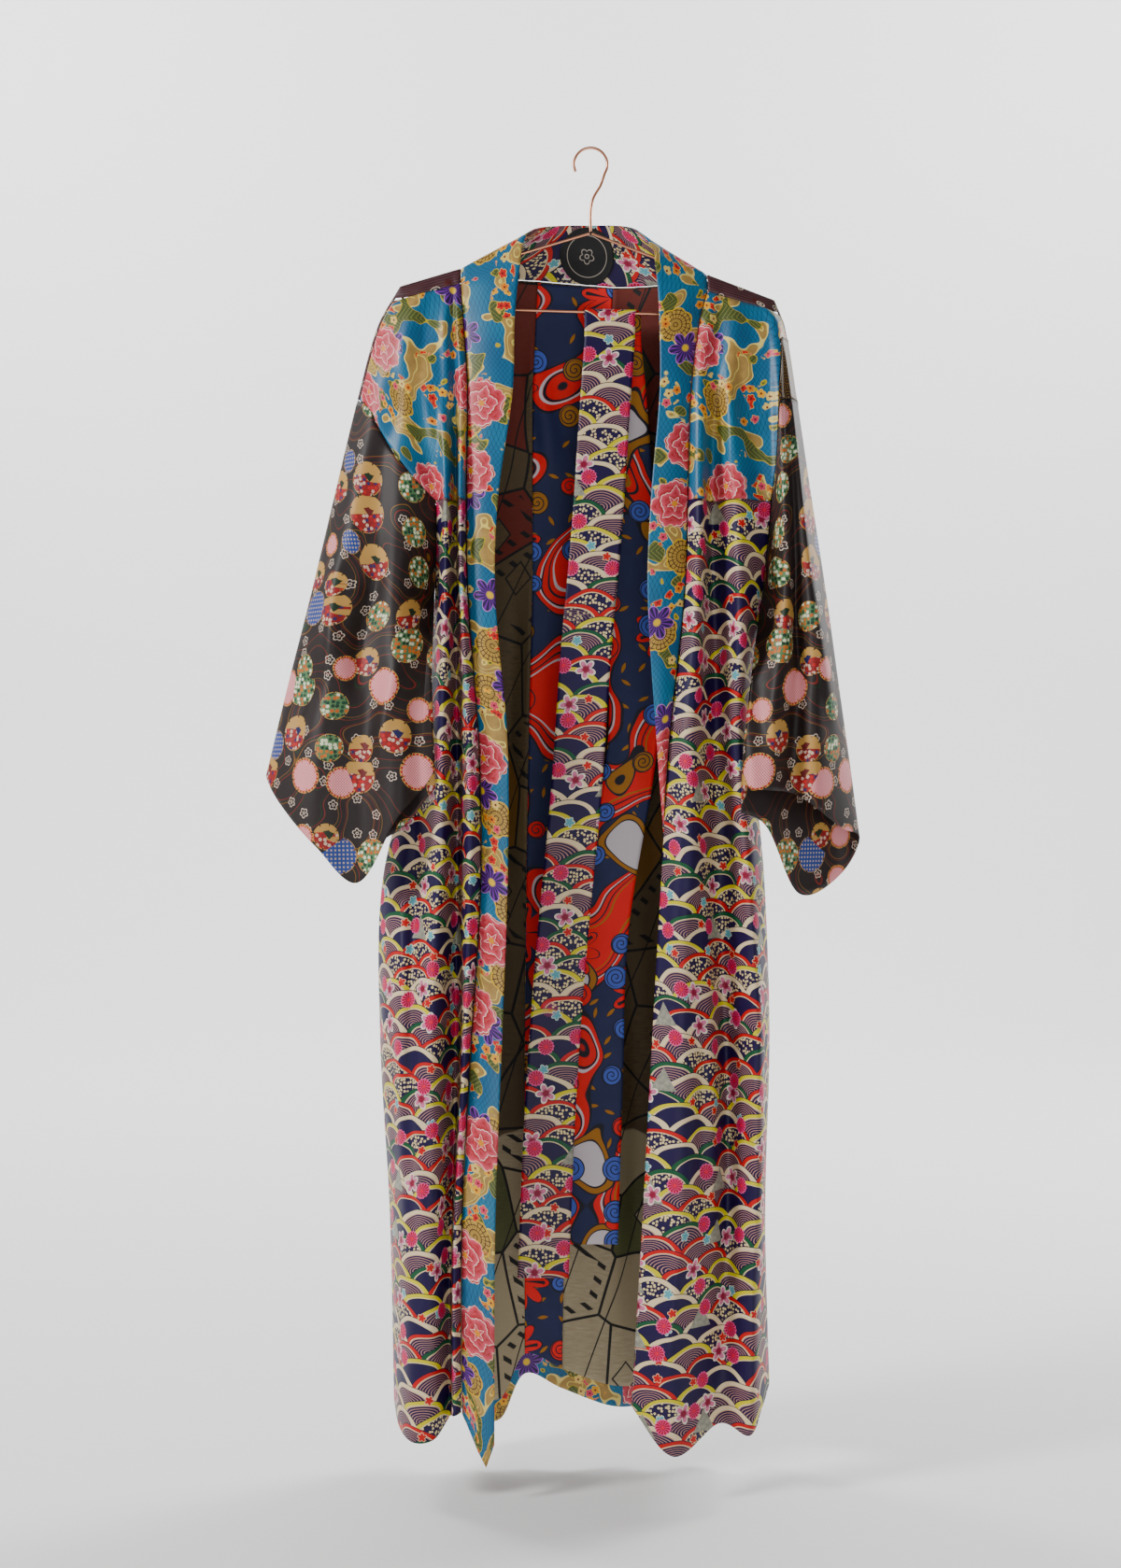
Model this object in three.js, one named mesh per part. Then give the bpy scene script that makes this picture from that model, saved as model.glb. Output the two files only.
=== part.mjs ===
// A full-length patchwork kimono robe on a thin wire hanger, with its sash laid over the
// hanger's lower bar. Millimetres, +Z up, the front faces -Y. The origin is the point
// inside the top of the hook where a rail carries it.
import * as THREE from 'three';

// Walls and seams.
const CLOTH = 1.6;
const LINING = 1.2;
const SEAM = 0.4;
const SASH_THICK = 2.5;
const SASH_WIDE = 57;
const PATCH_ROUND = 62;
// Its middle: x, and the share of the band's height.
const PATCH_X = -4;
const PATCH_UP = 0.48;
// Rows of the band to each side of its middle that the patch may reach.
const PATCH_REACH = 6;
const PATCH_STEPS = 8;
const HALVINGS = 24;

// Hanger.
const WIRE = 3.2;
const APEX_Z = -95;
const TIP_LEFT_X = -213;
const TIP_LEFT_Z = -158;
const TIP_RIGHT_X = 207;
const TIP_RIGHT_Z = -174;
const BAR_LEFT_Z = -178;
const BAR_RIGHT_Z = -190;
const TIP_ROUND = 16;
const APEX_GAP = 1.2;
const HOOK_RADIUS = 19;
// The hook starts at these points above the frame, x and height, then runs round in degrees.
const NECK_OF_HOOK = [[0, 0], [0, 22], [3, 38], [11, 52]];
const HOOK_START = -35;
const HOOK_END = 205;
const FRAME_STEPS = 48;
const HOOK_STEPS = 28;

// The cloth rides over the wire on a small arch, and the shoulder strip ends this far down.
const ARCH = 3.2;
const STRIP_FRONT = 15;
const STRIP_BACK = 12;

// Heights at which every fold line of the body is given, below its top and above its hem.
const BODY_LEVELS = [-200, -280, -401, -506, -675, -830, -1000, -1200];
// Heights for the sleeves: the last one is the longest corner of the cuff.
const SLEEVE_LEVELS = [-200, -280, -401, -506, -600, -707, -828];
const CROSS_SEAM = -401;
const ARMPIT = -506;
const TURN = 6;

// Each row is a fold line that runs down the cloth. across is x and depth is y, first at the
// shoulder, then at each level, last at the hem. A row that turns bends sharply at the armpit.
const FRONT_LEFT = [
  { fold: 'band seam', across: [-148, -143, -138, -139, -137, -124, -122, -132, -142, -142],
    depth: [-3.6, -20, -32, -40, -50, -62, -69, -76, -83, -88], hem: -1402 },
  { fold: 'narrow ridge', across: [-151, -149, -145, -145, -143, -136, -135, -139, -149, -150],
    depth: [-3.2, -24, -38, -54, -64, -76, -82, -88, -91, -94], hem: -1404 },
  { fold: 'first valley', across: [-154, -155, -152, -151, -151, -149, -148, -148, -155, -156],
    depth: [-3.2, -18, -24, -26, -34, -42, -48, -56, -63, -68], hem: -1412 },
  { fold: 'wide ridge', across: [-158, -163, -162, -160, -160, -163, -164, -168, -172, -172],
    depth: [-3.2, -24, -38, -54, -62, -70, -74, -86, -91, -92], hem: -1430 },
  { fold: 'roll', across: [-163, -171, -173, -167, -168, -179, -186, -198, -197, -195],
    depth: [-3.2, -21, -32, -40, -42, -44, -50, -82, -87, -88], hem: -1434 },
  { fold: 'flank', across: [-169, -179, -182, -171, -170, -192, -218, -226, -215, -212],
    depth: [-3.2, -19, -28, -34, -24, -14, -26, -46, -53, -54], hem: -1426 },
  { fold: 'side seam', turns: true,
    across: [-175, -186, -189, -173, -176, -200, -236, -238, -227, -222],
    depth: [-3.2, -18, -26, -32, -1, 8, 4, 0, 0, 0], hem: -1409 },
];
const FRONT_RIGHT = [
  { fold: 'band seam', across: [136, 122, 112, 108, 104, 86, 76, 66, 55, 43],
    depth: [-3.6, -20, -32, -38, -46, -58, -67, -74, -81, -86], hem: -1395 },
  { fold: 'near ridge', across: [143, 132, 122, 121, 120, 110, 104, 101, 97, 88],
    depth: [-3.2, -24, -38, -52, -60, -72, -83, -90, -96, -100], hem: -1446 },
  { fold: 'first valley', across: [151, 143, 137, 136, 136, 137, 140, 148, 151, 140],
    depth: [-3.2, -18, -23, -23, -26, -34, -41, -51, -59, -65], hem: -1420 },
  { fold: 'wide ridge', across: [161, 160, 158, 161, 161, 156, 168, 180, 180, 172],
    depth: [-3.2, -24, -37, -50, -56, -62, -71, -76, -80, -84], hem: -1428 },
  { fold: 'flank', across: [171, 179, 182, 186, 182, 173, 187, 193, 191, 188],
    depth: [-3.2, -19, -27, -36, -30, -33, -40, -45, -49, -52], hem: -1408 },
  { fold: 'side seam', turns: true, across: [180, 196, 200, 200, 194, 186, 197, 202, 197, 202],
    depth: [-3.2, -18, -26, -33, -1, 8, 4, 0, 0, 0], hem: -1392 },
];
const BACK = [
  { fold: 'left side seam', turns: true,
    across: [-175, -186, -189, -173, -176, -200, -236, -238, -227, -222],
    depth: [3.2, 18, 24, 28, 1, 8.9, 4.9, 0.9, 0.9, 0.9], hem: -1409 },
  { fold: 'left flank', across: [-169, -179, -182, -168, -168, -190, -218, -224, -213, -208],
    depth: [3.2, 19, 27, 34, 29, 30, 33, 38, 44, 48], hem: -1420 },
  { fold: 'left ridge', across: [-158, -163, -164, -158, -156, -168, -182, -189, -183, -178],
    depth: [3.2, 22, 32, 44, 48, 58, 64, 71, 76, 80], hem: -1424 },
  { fold: 'left valley', across: [-147, -145, -142, -138, -136, -141, -148, -149, -144, -140],
    depth: [3.2, 19, 27, 34, 36, 40, 43, 44, 45, 46], hem: -1440 },
  { fold: 'left blade', across: [-108, -112, -113, -112, -112, -110, -111, -110, -106, -104],
    depth: [12, 25, 35, 44, 50, 56, 57, 58, 56, 54], hem: -1450 },
  { fold: 'left neck', across: [-60, -63, -65, -66, -66, -70, -73, -75, -76, -76],
    depth: [22, 30, 35, 38, 40, 46, 50, 56, 64, 70], hem: -1402 },
  { fold: 'middle', across: [26, 24, 21, 16, 12, 1, -10, -20, -29, -32],
    depth: [28, 34, 40, 45, 48, 55, 60, 65, 70, 74], hem: -1420 },
  { fold: 'right neck', across: [66, 65, 63, 60, 58, 49, 42, 35, 29, 26],
    depth: [22, 30, 35, 38, 42, 46, 49, 52, 56, 58], hem: -1436 },
  { fold: 'right blade', across: [100, 102, 101, 98, 96, 88, 84, 79, 74, 72],
    depth: [12, 25, 34, 42, 48, 55, 61, 67, 72, 76], hem: -1438 },
  { fold: 'right valley', across: [137, 134, 132, 130, 128, 124, 122, 120, 116, 114],
    depth: [3.2, 19, 27, 34, 36, 40, 43, 46, 49, 52], hem: -1426 },
  { fold: 'right ridge', across: [158, 160, 161, 160, 160, 158, 161, 162, 160, 158],
    depth: [3.2, 22, 31, 42, 46, 56, 62, 68, 73, 78], hem: -1430 },
  { fold: 'right flank', across: [171, 184, 188, 190, 186, 177, 187, 191, 187, 188],
    depth: [3.2, 19, 27, 34, 28, 30, 33, 37, 43, 46], hem: -1416 },
  { fold: 'right side seam', turns: true,
    across: [180, 196, 200, 200, 194, 186, 197, 202, 197, 202],
    depth: [3.2, 18, 25, 28, 1, 8.9, 4.9, 0.9, 0.9, 0.9], hem: -1392 },
];
// The neck part of the back starts at the neck seam, the rest at the wire.
const NECK_TOPS = { 'left blade': -143, 'left neck': -144, middle: -150, 'right neck': -150,
  'right blade': -149 };

// Sleeves: from the armhole in front, round the outer fold, to the armhole behind. seam is
// where the brown cloth starts, patch where the black piece above it starts, slack the room
// that the black piece leaves at both seams, cuff the end.
const SLEEVE_LEFT = [
  { fold: 'front armhole', turns: true, across: [-175, -186, -189, -175, -180.5, -180, -174, -174],
    depth: [-3.2, -18, -26, -32, -4, -52, -69, -71], seam: -401, cuff: -707 },
  { fold: 'front ridge', across: [-184, -202, -210, -208, -211, -215, -214, -214],
    depth: [-3.2, -22, -36, -50, -54, -68, -82, -84], seam: -362, cuff: -757 },
  { fold: 'front valley', across: [-193, -213, -226, -236, -242, -248, -254, -258],
    depth: [-3.2, -18, -30, -40, -44, -50, -57, -59], seam: -330, cuff: -826 },
  { fold: 'front outer ridge', across: [-201, -223, -240, -262, -276, -290, -302, -306],
    depth: [-3.2, -14, -25, -40, -48, -56, -64, -66], seam: -302, cuff: -784 },
  { fold: 'front edge', across: [-208, -231, -252, -280, -301, -320, -340, -350],
    depth: [-3.2, -9, -15, -22, -28, -32, -36, -38], seam: -289, cuff: -742 },
  { fold: 'outer fold', across: [-218, -240, -262, -291, -316, -340, -366, -396],
    depth: [0, 0, 0, 0, 0, 0, 0, 0], seam: -283, cuff: -707 },
  { fold: 'back edge', across: [-208, -231, -252, -280, -301, -320, -340, -350],
    depth: [3.2, 9, 15, 20, 20, 18, 15, 13], seam: -289, cuff: -738 },
  { fold: 'back ridge', across: [-198, -217, -232, -250, -262, -270, -280, -284],
    depth: [3.2, 17, 28, 36, 30, 12, -6, -12], seam: -312, cuff: -792 },
  { fold: 'back valley', across: [-184, -202, -211, -210, -212, -215, -216, -216],
    depth: [3.2, 18, 27, 32, 16, -24, -50, -54], seam: -358, cuff: -770 },
  { fold: 'back armhole', turns: true, across: [-175, -186, -189, -175, -180.5, -180, -174, -174],
    depth: [3.2, 18, 24, 28, 1, -49, -65.8, -67.8], seam: -401, cuff: -722 },
];
const SLEEVE_RIGHT = [
  { fold: 'front armhole', turns: true, across: [180, 196, 200, 202, 197, 181, 169, 167],
    depth: [-3.2, -18, -26, -33, -4, -46, -68, -70], seam: -401, patch: -401, slack: 4, cuff: -722 },
  { fold: 'front ridge', across: [187, 204, 210, 214, 214, 208, 195, 192],
    depth: [-3.2, -20, -34, -50, -50, -64, -80, -82], seam: -290, patch: -268, slack: 4, cuff: -724 },
  { fold: 'front valley', across: [193, 209, 217, 224, 228, 228, 222, 220],
    depth: [-3.2, -18, -28, -40, -40, -46, -52, -54], seam: -287, patch: -218, slack: 0.3, cuff: -727 },
  { fold: 'front outer ridge', across: [198, 212, 223, 234, 242, 246, 246, 244],
    depth: [-3.2, -14, -26, -42, -50, -58, -66, -68], seam: -287, patch: -216, slack: 0.3, cuff: -742 },
  { fold: 'front edge', across: [203, 215, 228, 242, 256, 266, 276, 282],
    depth: [-3.2, -8, -15, -24, -30, -34, -37, -38], seam: -287, patch: -216, slack: 0.3, cuff: -766 },
  { fold: 'outer fold', across: [209, 219, 232, 250, 266, 279, 294, 310],
    depth: [0, 0, 0, 0, 0, 0, 0, 0], seam: -287, patch: -216, slack: 0.3, cuff: -778 },
  { fold: 'back edge', across: [203, 215, 228, 242, 256, 266, 276, 282],
    depth: [3.2, 8, 15, 20, 22, 20, 16, 14], seam: -287, patch: -216, slack: 0.3, cuff: -822 },
  { fold: 'back ridge', across: [196, 210, 219, 230, 238, 240, 236, 234],
    depth: [3.2, 16, 27, 36, 30, 12, -8, -12], seam: -287, patch: -218, slack: 0.3, cuff: -840 },
  { fold: 'back valley', across: [187, 204, 210, 213, 212, 207, 197, 195],
    depth: [3.2, 18, 26, 32, 18, -22, -46, -48], seam: -290, patch: -268, slack: 5, cuff: -766 },
  { fold: 'back armhole', turns: true, across: [180, 196, 200, 202, 197, 181, 169, 167],
    depth: [3.2, 18, 25, 28, 1, -43, -64.8, -66.8], seam: -401, patch: -401, slack: 5, cuff: -748 },
];
const OUTER_FOLD = 5;
// The shoulder strip reaches this many fold rows to each side of a sleeve's outer fold.
const STRIP_REACH = 0.45;
const STRIP_LINES = [-1, -0.7, -0.45, -0.2, 0, 0.2, 0.45, 0.7, 1];
// Where the strip turns down it is narrower, and its edge draws back towards the corner.
const STRIP_INSIDE = 0.8;
const STRIP_STEPS = 10;
const STRIP_FIRST_STEP = 0.4;
const CORNER_TRIM = 4.5;
const CORNER_POWER = 8;
// Steps from the neck to the last fold line of the shoulder.
const SHOULDER_STEPS = 7;

// The band's free edge, at the wire's height, each body level and the hem.
const BAND_EDGE_LEFT = { across: [-80, -85, -87, -103, -106, -92, -92, -98, -105, -106],
  depth: [-22, -34, -42, -50, -58, -68, -76, -82, -88, -90], hem: -1424 };
const BAND_EDGE_RIGHT = { across: [74, 76, 76, 66, 62, 72, 84, 87, 80, 70],
  depth: [-22, -34, -42, -50, -58, -65, -50, -50, -58, -66], hem: -1408 };
// How far the bottom of the left band drops below its straight end, from seam to free edge.
const BAND_TIP = [0, 14, 30, 42, 12];

// The same edge round the back of the neck, from the left shoulder to the right.
const NECK_FREE = [
  [-77, -14, -112], [-72, -6, -98], [-64, 3, -90], [-52, 11, -85], [-36, 16, -82.5], [-18, 20, -81],
  [0, 21, -81], [18, 20, -81], [34, 16, -82.5], [46, 11, -86], [56, 4, -93], [65, -6, -105], [71, -14, -118],
];
// How far along that edge the band has turned the corner of the shoulder.
const NECK_TURN = 0.22;
const BAND_ACROSS = [0, 0.25, 0.5, 0.75, 1];
const BAND_CROWN = 3;
const BAND_GAP = 1.8;

// The sash: a row for each station, x of its left edge, depth of its middle.
const SASH_FRONT = [
  { z: -1268, left: -82, depth: -30 },
  { z: -1100, left: -75, depth: -26 },
  { z: -1000, left: -69, depth: -27 },
  { z: -886, left: -60, depth: -24 },
  { z: -728, left: -45, depth: -20 },
  { z: -570, left: -34, depth: -18 },
  { z: -422, left: -21, depth: -13 },
  { z: -300, left: -13, depth: -8 },
  { z: -215, left: -7, depth: -4 },
];
const SASH_BACK = [
  { z: -215, left: 0, depth: 4 },
  { z: -300, left: 8, depth: 6 },
  { z: -422, left: 16, depth: 8 },
  { z: -570, left: 20, depth: 10 },
  { z: -675, left: 19, depth: 12 },
  { z: -886, left: -14, depth: 14 },
  { z: -1050, left: -20, depth: 14 },
  { z: -1240, left: -26, depth: 15 },
];

// The back lining: the fold lines of the back at which its three panels start and end.
const LINING_PANELS = [
  { side: 'left', from: 1, to: 5, cloth: 'beige' },
  { side: 'centre', from: 5, to: 6, cloth: 'navy' },
  { side: 'right', from: 6, to: 11, cloth: 'beige' },
];
const LINING_TOP = 2;
const LINING_SHORT = 22;

// Rows of faces down the panels.
const YOKE_ROWS = 7;
const SKIRT_ROWS = 13;
const SLEEVE_ROWS = 11;
const SLEEVE_PATCH_ROWS = 4;
const SASH_ROWS = 20;

const FINISHES = {
  floral: { color: 0x2fa5b5, roughness: 0.55 },
  wave: { color: 0x6d5560, roughness: 0.6 },
  mauve: { color: 0x7d5f6b, roughness: 0.65 },
  brown: { color: 0x3a2720, roughness: 0.6 },
  black: { color: 0x18171a, roughness: 0.6 },
  beige: { color: 0x9c8a6c, roughness: 0.8 },
  navy: { color: 0x1f2346, roughness: 0.7 },
  label: { color: 0x101012, roughness: 0.7 },
};

function finish(name) {
  return new THREE.MeshStandardMaterial({ ...FINISHES[name], metalness: 0 });
}

function copper() {
  return new THREE.MeshStandardMaterial({ color: 0xb87455, roughness: 0.35, metalness: 1 });
}

function wireHeight(x) {
  const slope = x < 0 ? (APEX_Z - TIP_LEFT_Z) / -TIP_LEFT_X : (TIP_RIGHT_Z - APEX_Z) / TIP_RIGHT_X;
  return APEX_Z + slope * x;
}

// A value along a line of falling heights, smooth through every given one.
function track(heights, values, z) {
  const last = heights.length - 1;
  let i = 0;
  while (i < last - 1 && z < heights[i + 1]) i += 1;
  const slope = (k) => {
    const a = Math.max(k - 1, 0);
    const b = Math.min(k + 1, last);
    return (values[b] - values[a]) / (heights[b] - heights[a]);
  };
  const span = heights[i + 1] - heights[i];
  const t = (z - heights[i]) / span;
  if (t < 0) return values[i] + slope(i) * (z - heights[i]);
  if (t > 1) return values[i + 1] + slope(i + 1) * (z - heights[i + 1]);
  const t2 = t * t;
  const t3 = t2 * t;
  return values[i] * (2 * t3 - 3 * t2 + 1) + slope(i) * span * (t3 - 2 * t2 + t)
    + values[i + 1] * (3 * t2 - 2 * t3) + slope(i + 1) * span * (t3 - t2);
}

// Catmull-Rom through numbers at whole steps of u.
function blend(values, u) {
  const last = values.length - 1;
  const i = Math.min(Math.max(Math.floor(u), 0), last - 1);
  const t = u - i;
  const before = i > 0 ? values[i - 1] : 2 * values[0] - values[1];
  const after = i + 2 <= last ? values[i + 2] : 2 * values[last] - values[last - 1];
  const [a, b] = [values[i], values[i + 1]];
  return 0.5 * (2 * a + (b - before) * t + (2 * before - 5 * a + 4 * b - after) * t * t
    + (3 * a - before - 3 * b + after) * t * t * t);
}

// Straight steps between numbers at whole steps of u.
function ramp(values, u) {
  const i = Math.min(Math.max(Math.floor(u), 0), values.length - 2);
  return values[i] + (values[i + 1] - values[i]) * (u - i);
}

// A row's heights and values. One that turns gets a second height just below the armpit.
function foldLine(row, levels, end) {
  const top = NECK_TOPS[row.fold] ?? wireHeight(row.across[0]);
  const heights = end === undefined ? [top, ...levels] : [top, ...levels, end];
  const line = { top, heights, across: [...row.across], depth: [...row.depth] };
  if (row.turns) {
    const k = heights.indexOf(ARMPIT);
    const share = TURN / (heights[k] - heights[k + 1]);
    for (const values of [line.across, line.depth]) {
      values.splice(k + 1, 0, values[k] + (values[k + 1] - values[k]) * share);
    }
    heights.splice(k + 1, 0, ARMPIT - TURN);
  }
  return line;
}

// A draped surface: u counts fold lines, z is the height.
function drape(rows, levels) {
  const lines = rows.map((row) => foldLine(row, levels, row.hem));
  const near = (u) => Math.min(Math.max(Math.floor(u), 0), rows.length - 2);
  const pick = (u, value) => {
    const i = near(u);
    const from = Math.max(i - 1, 0);
    const to = Math.min(i + 2, rows.length - 1);
    return blend(lines.slice(from, to + 1).map(value), u - from);
  };
  return {
    count: rows.length - 1,
    top: (u) => pick(u, (line) => line.top),
    column: (name, u) => blend(rows.map((row) => row[name]), u),
    edge: (name, u) => ramp(rows.map((row) => row[name]), u),
    at: (u, z) => new THREE.Vector3(
      pick(u, (line) => track(line.heights, line.across, z)),
      pick(u, (line) => track(line.heights, line.depth, z)), z),
  };
}

function normalsOf(grid) {
  const wide = grid.length;
  const high = grid[0].length;
  return grid.map((line, i) => line.map((_, j) => {
    const alongU = grid[Math.min(i + 1, wide - 1)][j].clone().sub(grid[Math.max(i - 1, 0)][j]);
    const alongV = grid[i][Math.min(j + 1, high - 1)].clone().sub(grid[i][Math.max(j - 1, 0)]);
    return alongU.cross(alongV).normalize();
  }));
}

// Turns a grid of middle points into a closed wall of even thickness, moved out by shift.
function wall(grid, thick, shift = 0, normals = normalsOf(grid)) {
  const wide = grid.length;
  const high = grid[0].length;
  const points = [];
  for (const side of [1, -1]) {
    for (let i = 0; i < wide; i += 1) {
      for (let j = 0; j < high; j += 1) {
        const move = shift + side * thick / 2;
        points.push(grid[i][j].clone().addScaledVector(normals[i][j], move));
      }
    }
  }
  const front = (i, j) => i * high + j;
  const back = (i, j) => wide * high + i * high + j;
  const faces = [];
  const quad = (a, b, c, d) => faces.push(a, b, c, a, c, d);
  for (let i = 0; i < wide - 1; i += 1) {
    for (let j = 0; j < high - 1; j += 1) {
      quad(front(i, j), front(i + 1, j), front(i + 1, j + 1), front(i, j + 1));
      quad(back(i, j), back(i, j + 1), back(i + 1, j + 1), back(i + 1, j));
    }
    quad(front(i, 0), back(i, 0), back(i + 1, 0), front(i + 1, 0));
    quad(front(i, high - 1), front(i + 1, high - 1), back(i + 1, high - 1), back(i, high - 1));
  }
  for (let j = 0; j < high - 1; j += 1) {
    quad(front(0, j), front(0, j + 1), back(0, j + 1), back(0, j));
    quad(front(wide - 1, j), back(wide - 1, j), back(wide - 1, j + 1), front(wide - 1, j + 1));
  }
  const shape = new THREE.BufferGeometry();
  shape.setAttribute('position', new THREE.Float32BufferAttribute(points.flatMap((p) => p.toArray()), 3));
  shape.setIndex(faces);
  return shape;
}

function spread(from, to, steps) {
  return Array.from({ length: steps + 1 }, (_, k) => from + (to - from) * k / steps);
}

// A stretch of a draped surface between two heights that may change along u.
function stretch(surface, stations, topOf, bottomOf, rows) {
  return stations.map((u) => spread(topOf(u), bottomOf(u), rows).map((z) => surface.at(u, z)));
}

const frontLeft = drape(FRONT_LEFT, BODY_LEVELS);
const frontRight = drape(FRONT_RIGHT, BODY_LEVELS);
const back = drape(BACK, BODY_LEVELS);
const sleeveLeft = drape(SLEEVE_LEFT, SLEEVE_LEVELS);
const sleeveRight = drape(SLEEVE_RIGHT, SLEEVE_LEVELS);

const robe = new THREE.Group();

function add(name, geometry, material) {
  const mesh = new THREE.Mesh(geometry, material);
  mesh.name = name;
  robe.add(mesh);
}

const FRONT_CAP = [...spread(0, 4, 8), OUTER_FOLD - STRIP_REACH];
const BACK_CAP = [OUTER_FOLD + STRIP_REACH, ...spread(6, 9, 6)];
const SLEEVE_ROUND = [...FRONT_CAP, OUTER_FOLD, ...BACK_CAP];

// Upper front: the body's fold lines, then the cap over the end of the shoulder.
function frontYoke(body, sleeve, seam) {
  const chest = stretch(body, spread(0, body.count, body.count * 2), (u) => body.top(u) - STRIP_FRONT,
    () => CROSS_SEAM + SEAM / 2, YOKE_ROWS);
  const cap = stretch(sleeve, FRONT_CAP.slice(1), (u) => sleeve.top(u) - STRIP_FRONT,
    (u) => sleeve.edge(seam, u) + SEAM, YOKE_ROWS);
  return [...chest, ...cap];
}

function skirt(body, perFold) {
  const stations = spread(0, body.count, body.count * perFold);
  return stretch(body, stations, () => CROSS_SEAM - SEAM / 2, (u) => body.column('hem', u), SKIRT_ROWS);
}

function sleevePanel(sleeve) {
  const topOf = (u) => sleeve.edge('seam', u) - SEAM;
  return stretch(sleeve, SLEEVE_ROUND, topOf, (u) => sleeve.column('cuff', u), SLEEVE_ROWS);
}

function sleevePatch(sleeve) {
  const topOf = (u) => sleeve.edge('patch', u) - sleeve.edge('slack', u);
  const bottomOf = (u) => sleeve.edge('seam', u) + sleeve.edge('slack', u) / 2;
  return stretch(sleeve, SLEEVE_ROUND.slice(1, -1), topOf, bottomOf, SLEEVE_PATCH_ROWS);
}

function backYoke() {
  const tops = BACK.map((row) => (row.fold in NECK_TOPS
    ? NECK_TOPS[row.fold] - SEAM : wireHeight(row.across[0]) - STRIP_BACK));
  const cap = (sleeve, stations, seam) => stretch(sleeve, stations,
    (u) => sleeve.top(u) - STRIP_BACK, (u) => sleeve.edge(seam, u) + SEAM, YOKE_ROWS);
  const body = stretch(back, spread(0, back.count, back.count * 2), (u) => ramp(tops, u),
    () => CROSS_SEAM + SEAM / 2, YOKE_ROWS);
  return {
    leftCap: cap(sleeveLeft, BACK_CAP.slice(0, -1), 'seam'),
    body,
    rightCap: cap(sleeveRight, BACK_CAP.slice(0, -1).reverse(), 'patch'),
  };
}

// The point a given share of the way along a chain of points.
function along(chain, share) {
  const place = share * (chain.length - 1);
  const i = Math.min(Math.floor(place), chain.length - 2);
  return chain[i].clone().lerp(chain[i + 1], place - i);
}

// The strip over one arm of the hanger and on down the outer fold to the sleeve seam. Its
// edges follow the top edges of the panels in front and behind.
function shoulderStrip(frontEdge, backEdge, sleeve, seam) {
  const lean = Math.SQRT1_2;
  const first = frontEdge[0].x;
  const corner = OUTER_FOLD - STRIP_REACH;
  const last = sleeve.at(corner, sleeve.top(corner)).x;
  const grid = spread(0, 1, STRIP_STEPS).map((share) => {
    const edge = along(frontEdge, share);
    const behind = along(backEdge, share);
    const x = first + (last - first) * share;
    const z = wireHeight(x);
    const sideFront = new THREE.Vector3(x, -ARCH, z);
    const sideBack = new THREE.Vector3(x, ARCH, z);
    const trim = SEAM * 1.5 + CORNER_TRIM * share ** CORNER_POWER;
    return [
      edge.clone().lerp(sideFront, trim / STRIP_FRONT), edge.clone().lerp(sideFront, 0.5), sideFront,
      new THREE.Vector3(x, -ARCH * lean, z + ARCH * lean), new THREE.Vector3(x, 0, z + ARCH),
      new THREE.Vector3(x, ARCH * lean, z + ARCH * lean),
      sideBack, behind.clone().lerp(sideBack, 0.5), behind.clone().lerp(sideBack, trim / STRIP_BACK),
    ];
  });
  const start = frontEdge[frontEdge.length - 1].z;
  const stop = sleeve.edge(seam, OUTER_FOLD) + SEAM;
  const [, second, ...rest] = spread(start, stop, YOKE_ROWS);
  [start + (second - start) * STRIP_FIRST_STEP, second, ...rest].forEach((z) => {
    grid.push(STRIP_LINES.map((r) => sleeve.at(OUTER_FOLD + STRIP_REACH * STRIP_INSIDE * r, z)));
  });
  return grid;
}

const yokeLeft = frontYoke(frontLeft, sleeveLeft, 'seam');
const yokeRight = frontYoke(frontRight, sleeveRight, 'patch');
const skirtLeft = skirt(frontLeft, 3);
const skirtRight = skirt(frontRight, 3);
const yokeBack = backYoke();
const skirtBack = skirt(back, 2);
const topEdge = (grid) => grid.map((line) => line[0]);
const backLeft = [...topEdge(yokeBack.leftCap), ...topEdge(yokeBack.body.slice(0, SHOULDER_STEPS))];
const backRight = [...topEdge(yokeBack.body.slice(-SHOULDER_STEPS)), ...topEdge(yokeBack.rightCap)];
const backNeck = topEdge(yokeBack.body.slice(SHOULDER_STEPS, -SHOULDER_STEPS));
const stripLeft = shoulderStrip(topEdge(yokeLeft), backLeft.reverse(), sleeveLeft, 'seam');
const stripRight = shoulderStrip(topEdge(yokeRight), backRight, sleeveRight, 'patch');

// The free edge of the band in front, at the height of a point of the seam.
function freeInFront(rows, edge, seam) {
  const levels = [wireHeight(rows[0].across[0]), ...BODY_LEVELS, edge.hem];
  const share = (seam.z - levels[0]) / (rows[0].hem - levels[0]);
  const z = levels[0] + share * (edge.hem - levels[0]);
  return new THREE.Vector3(track(levels, edge.across, z), track(levels, edge.depth, z), z);
}

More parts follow.
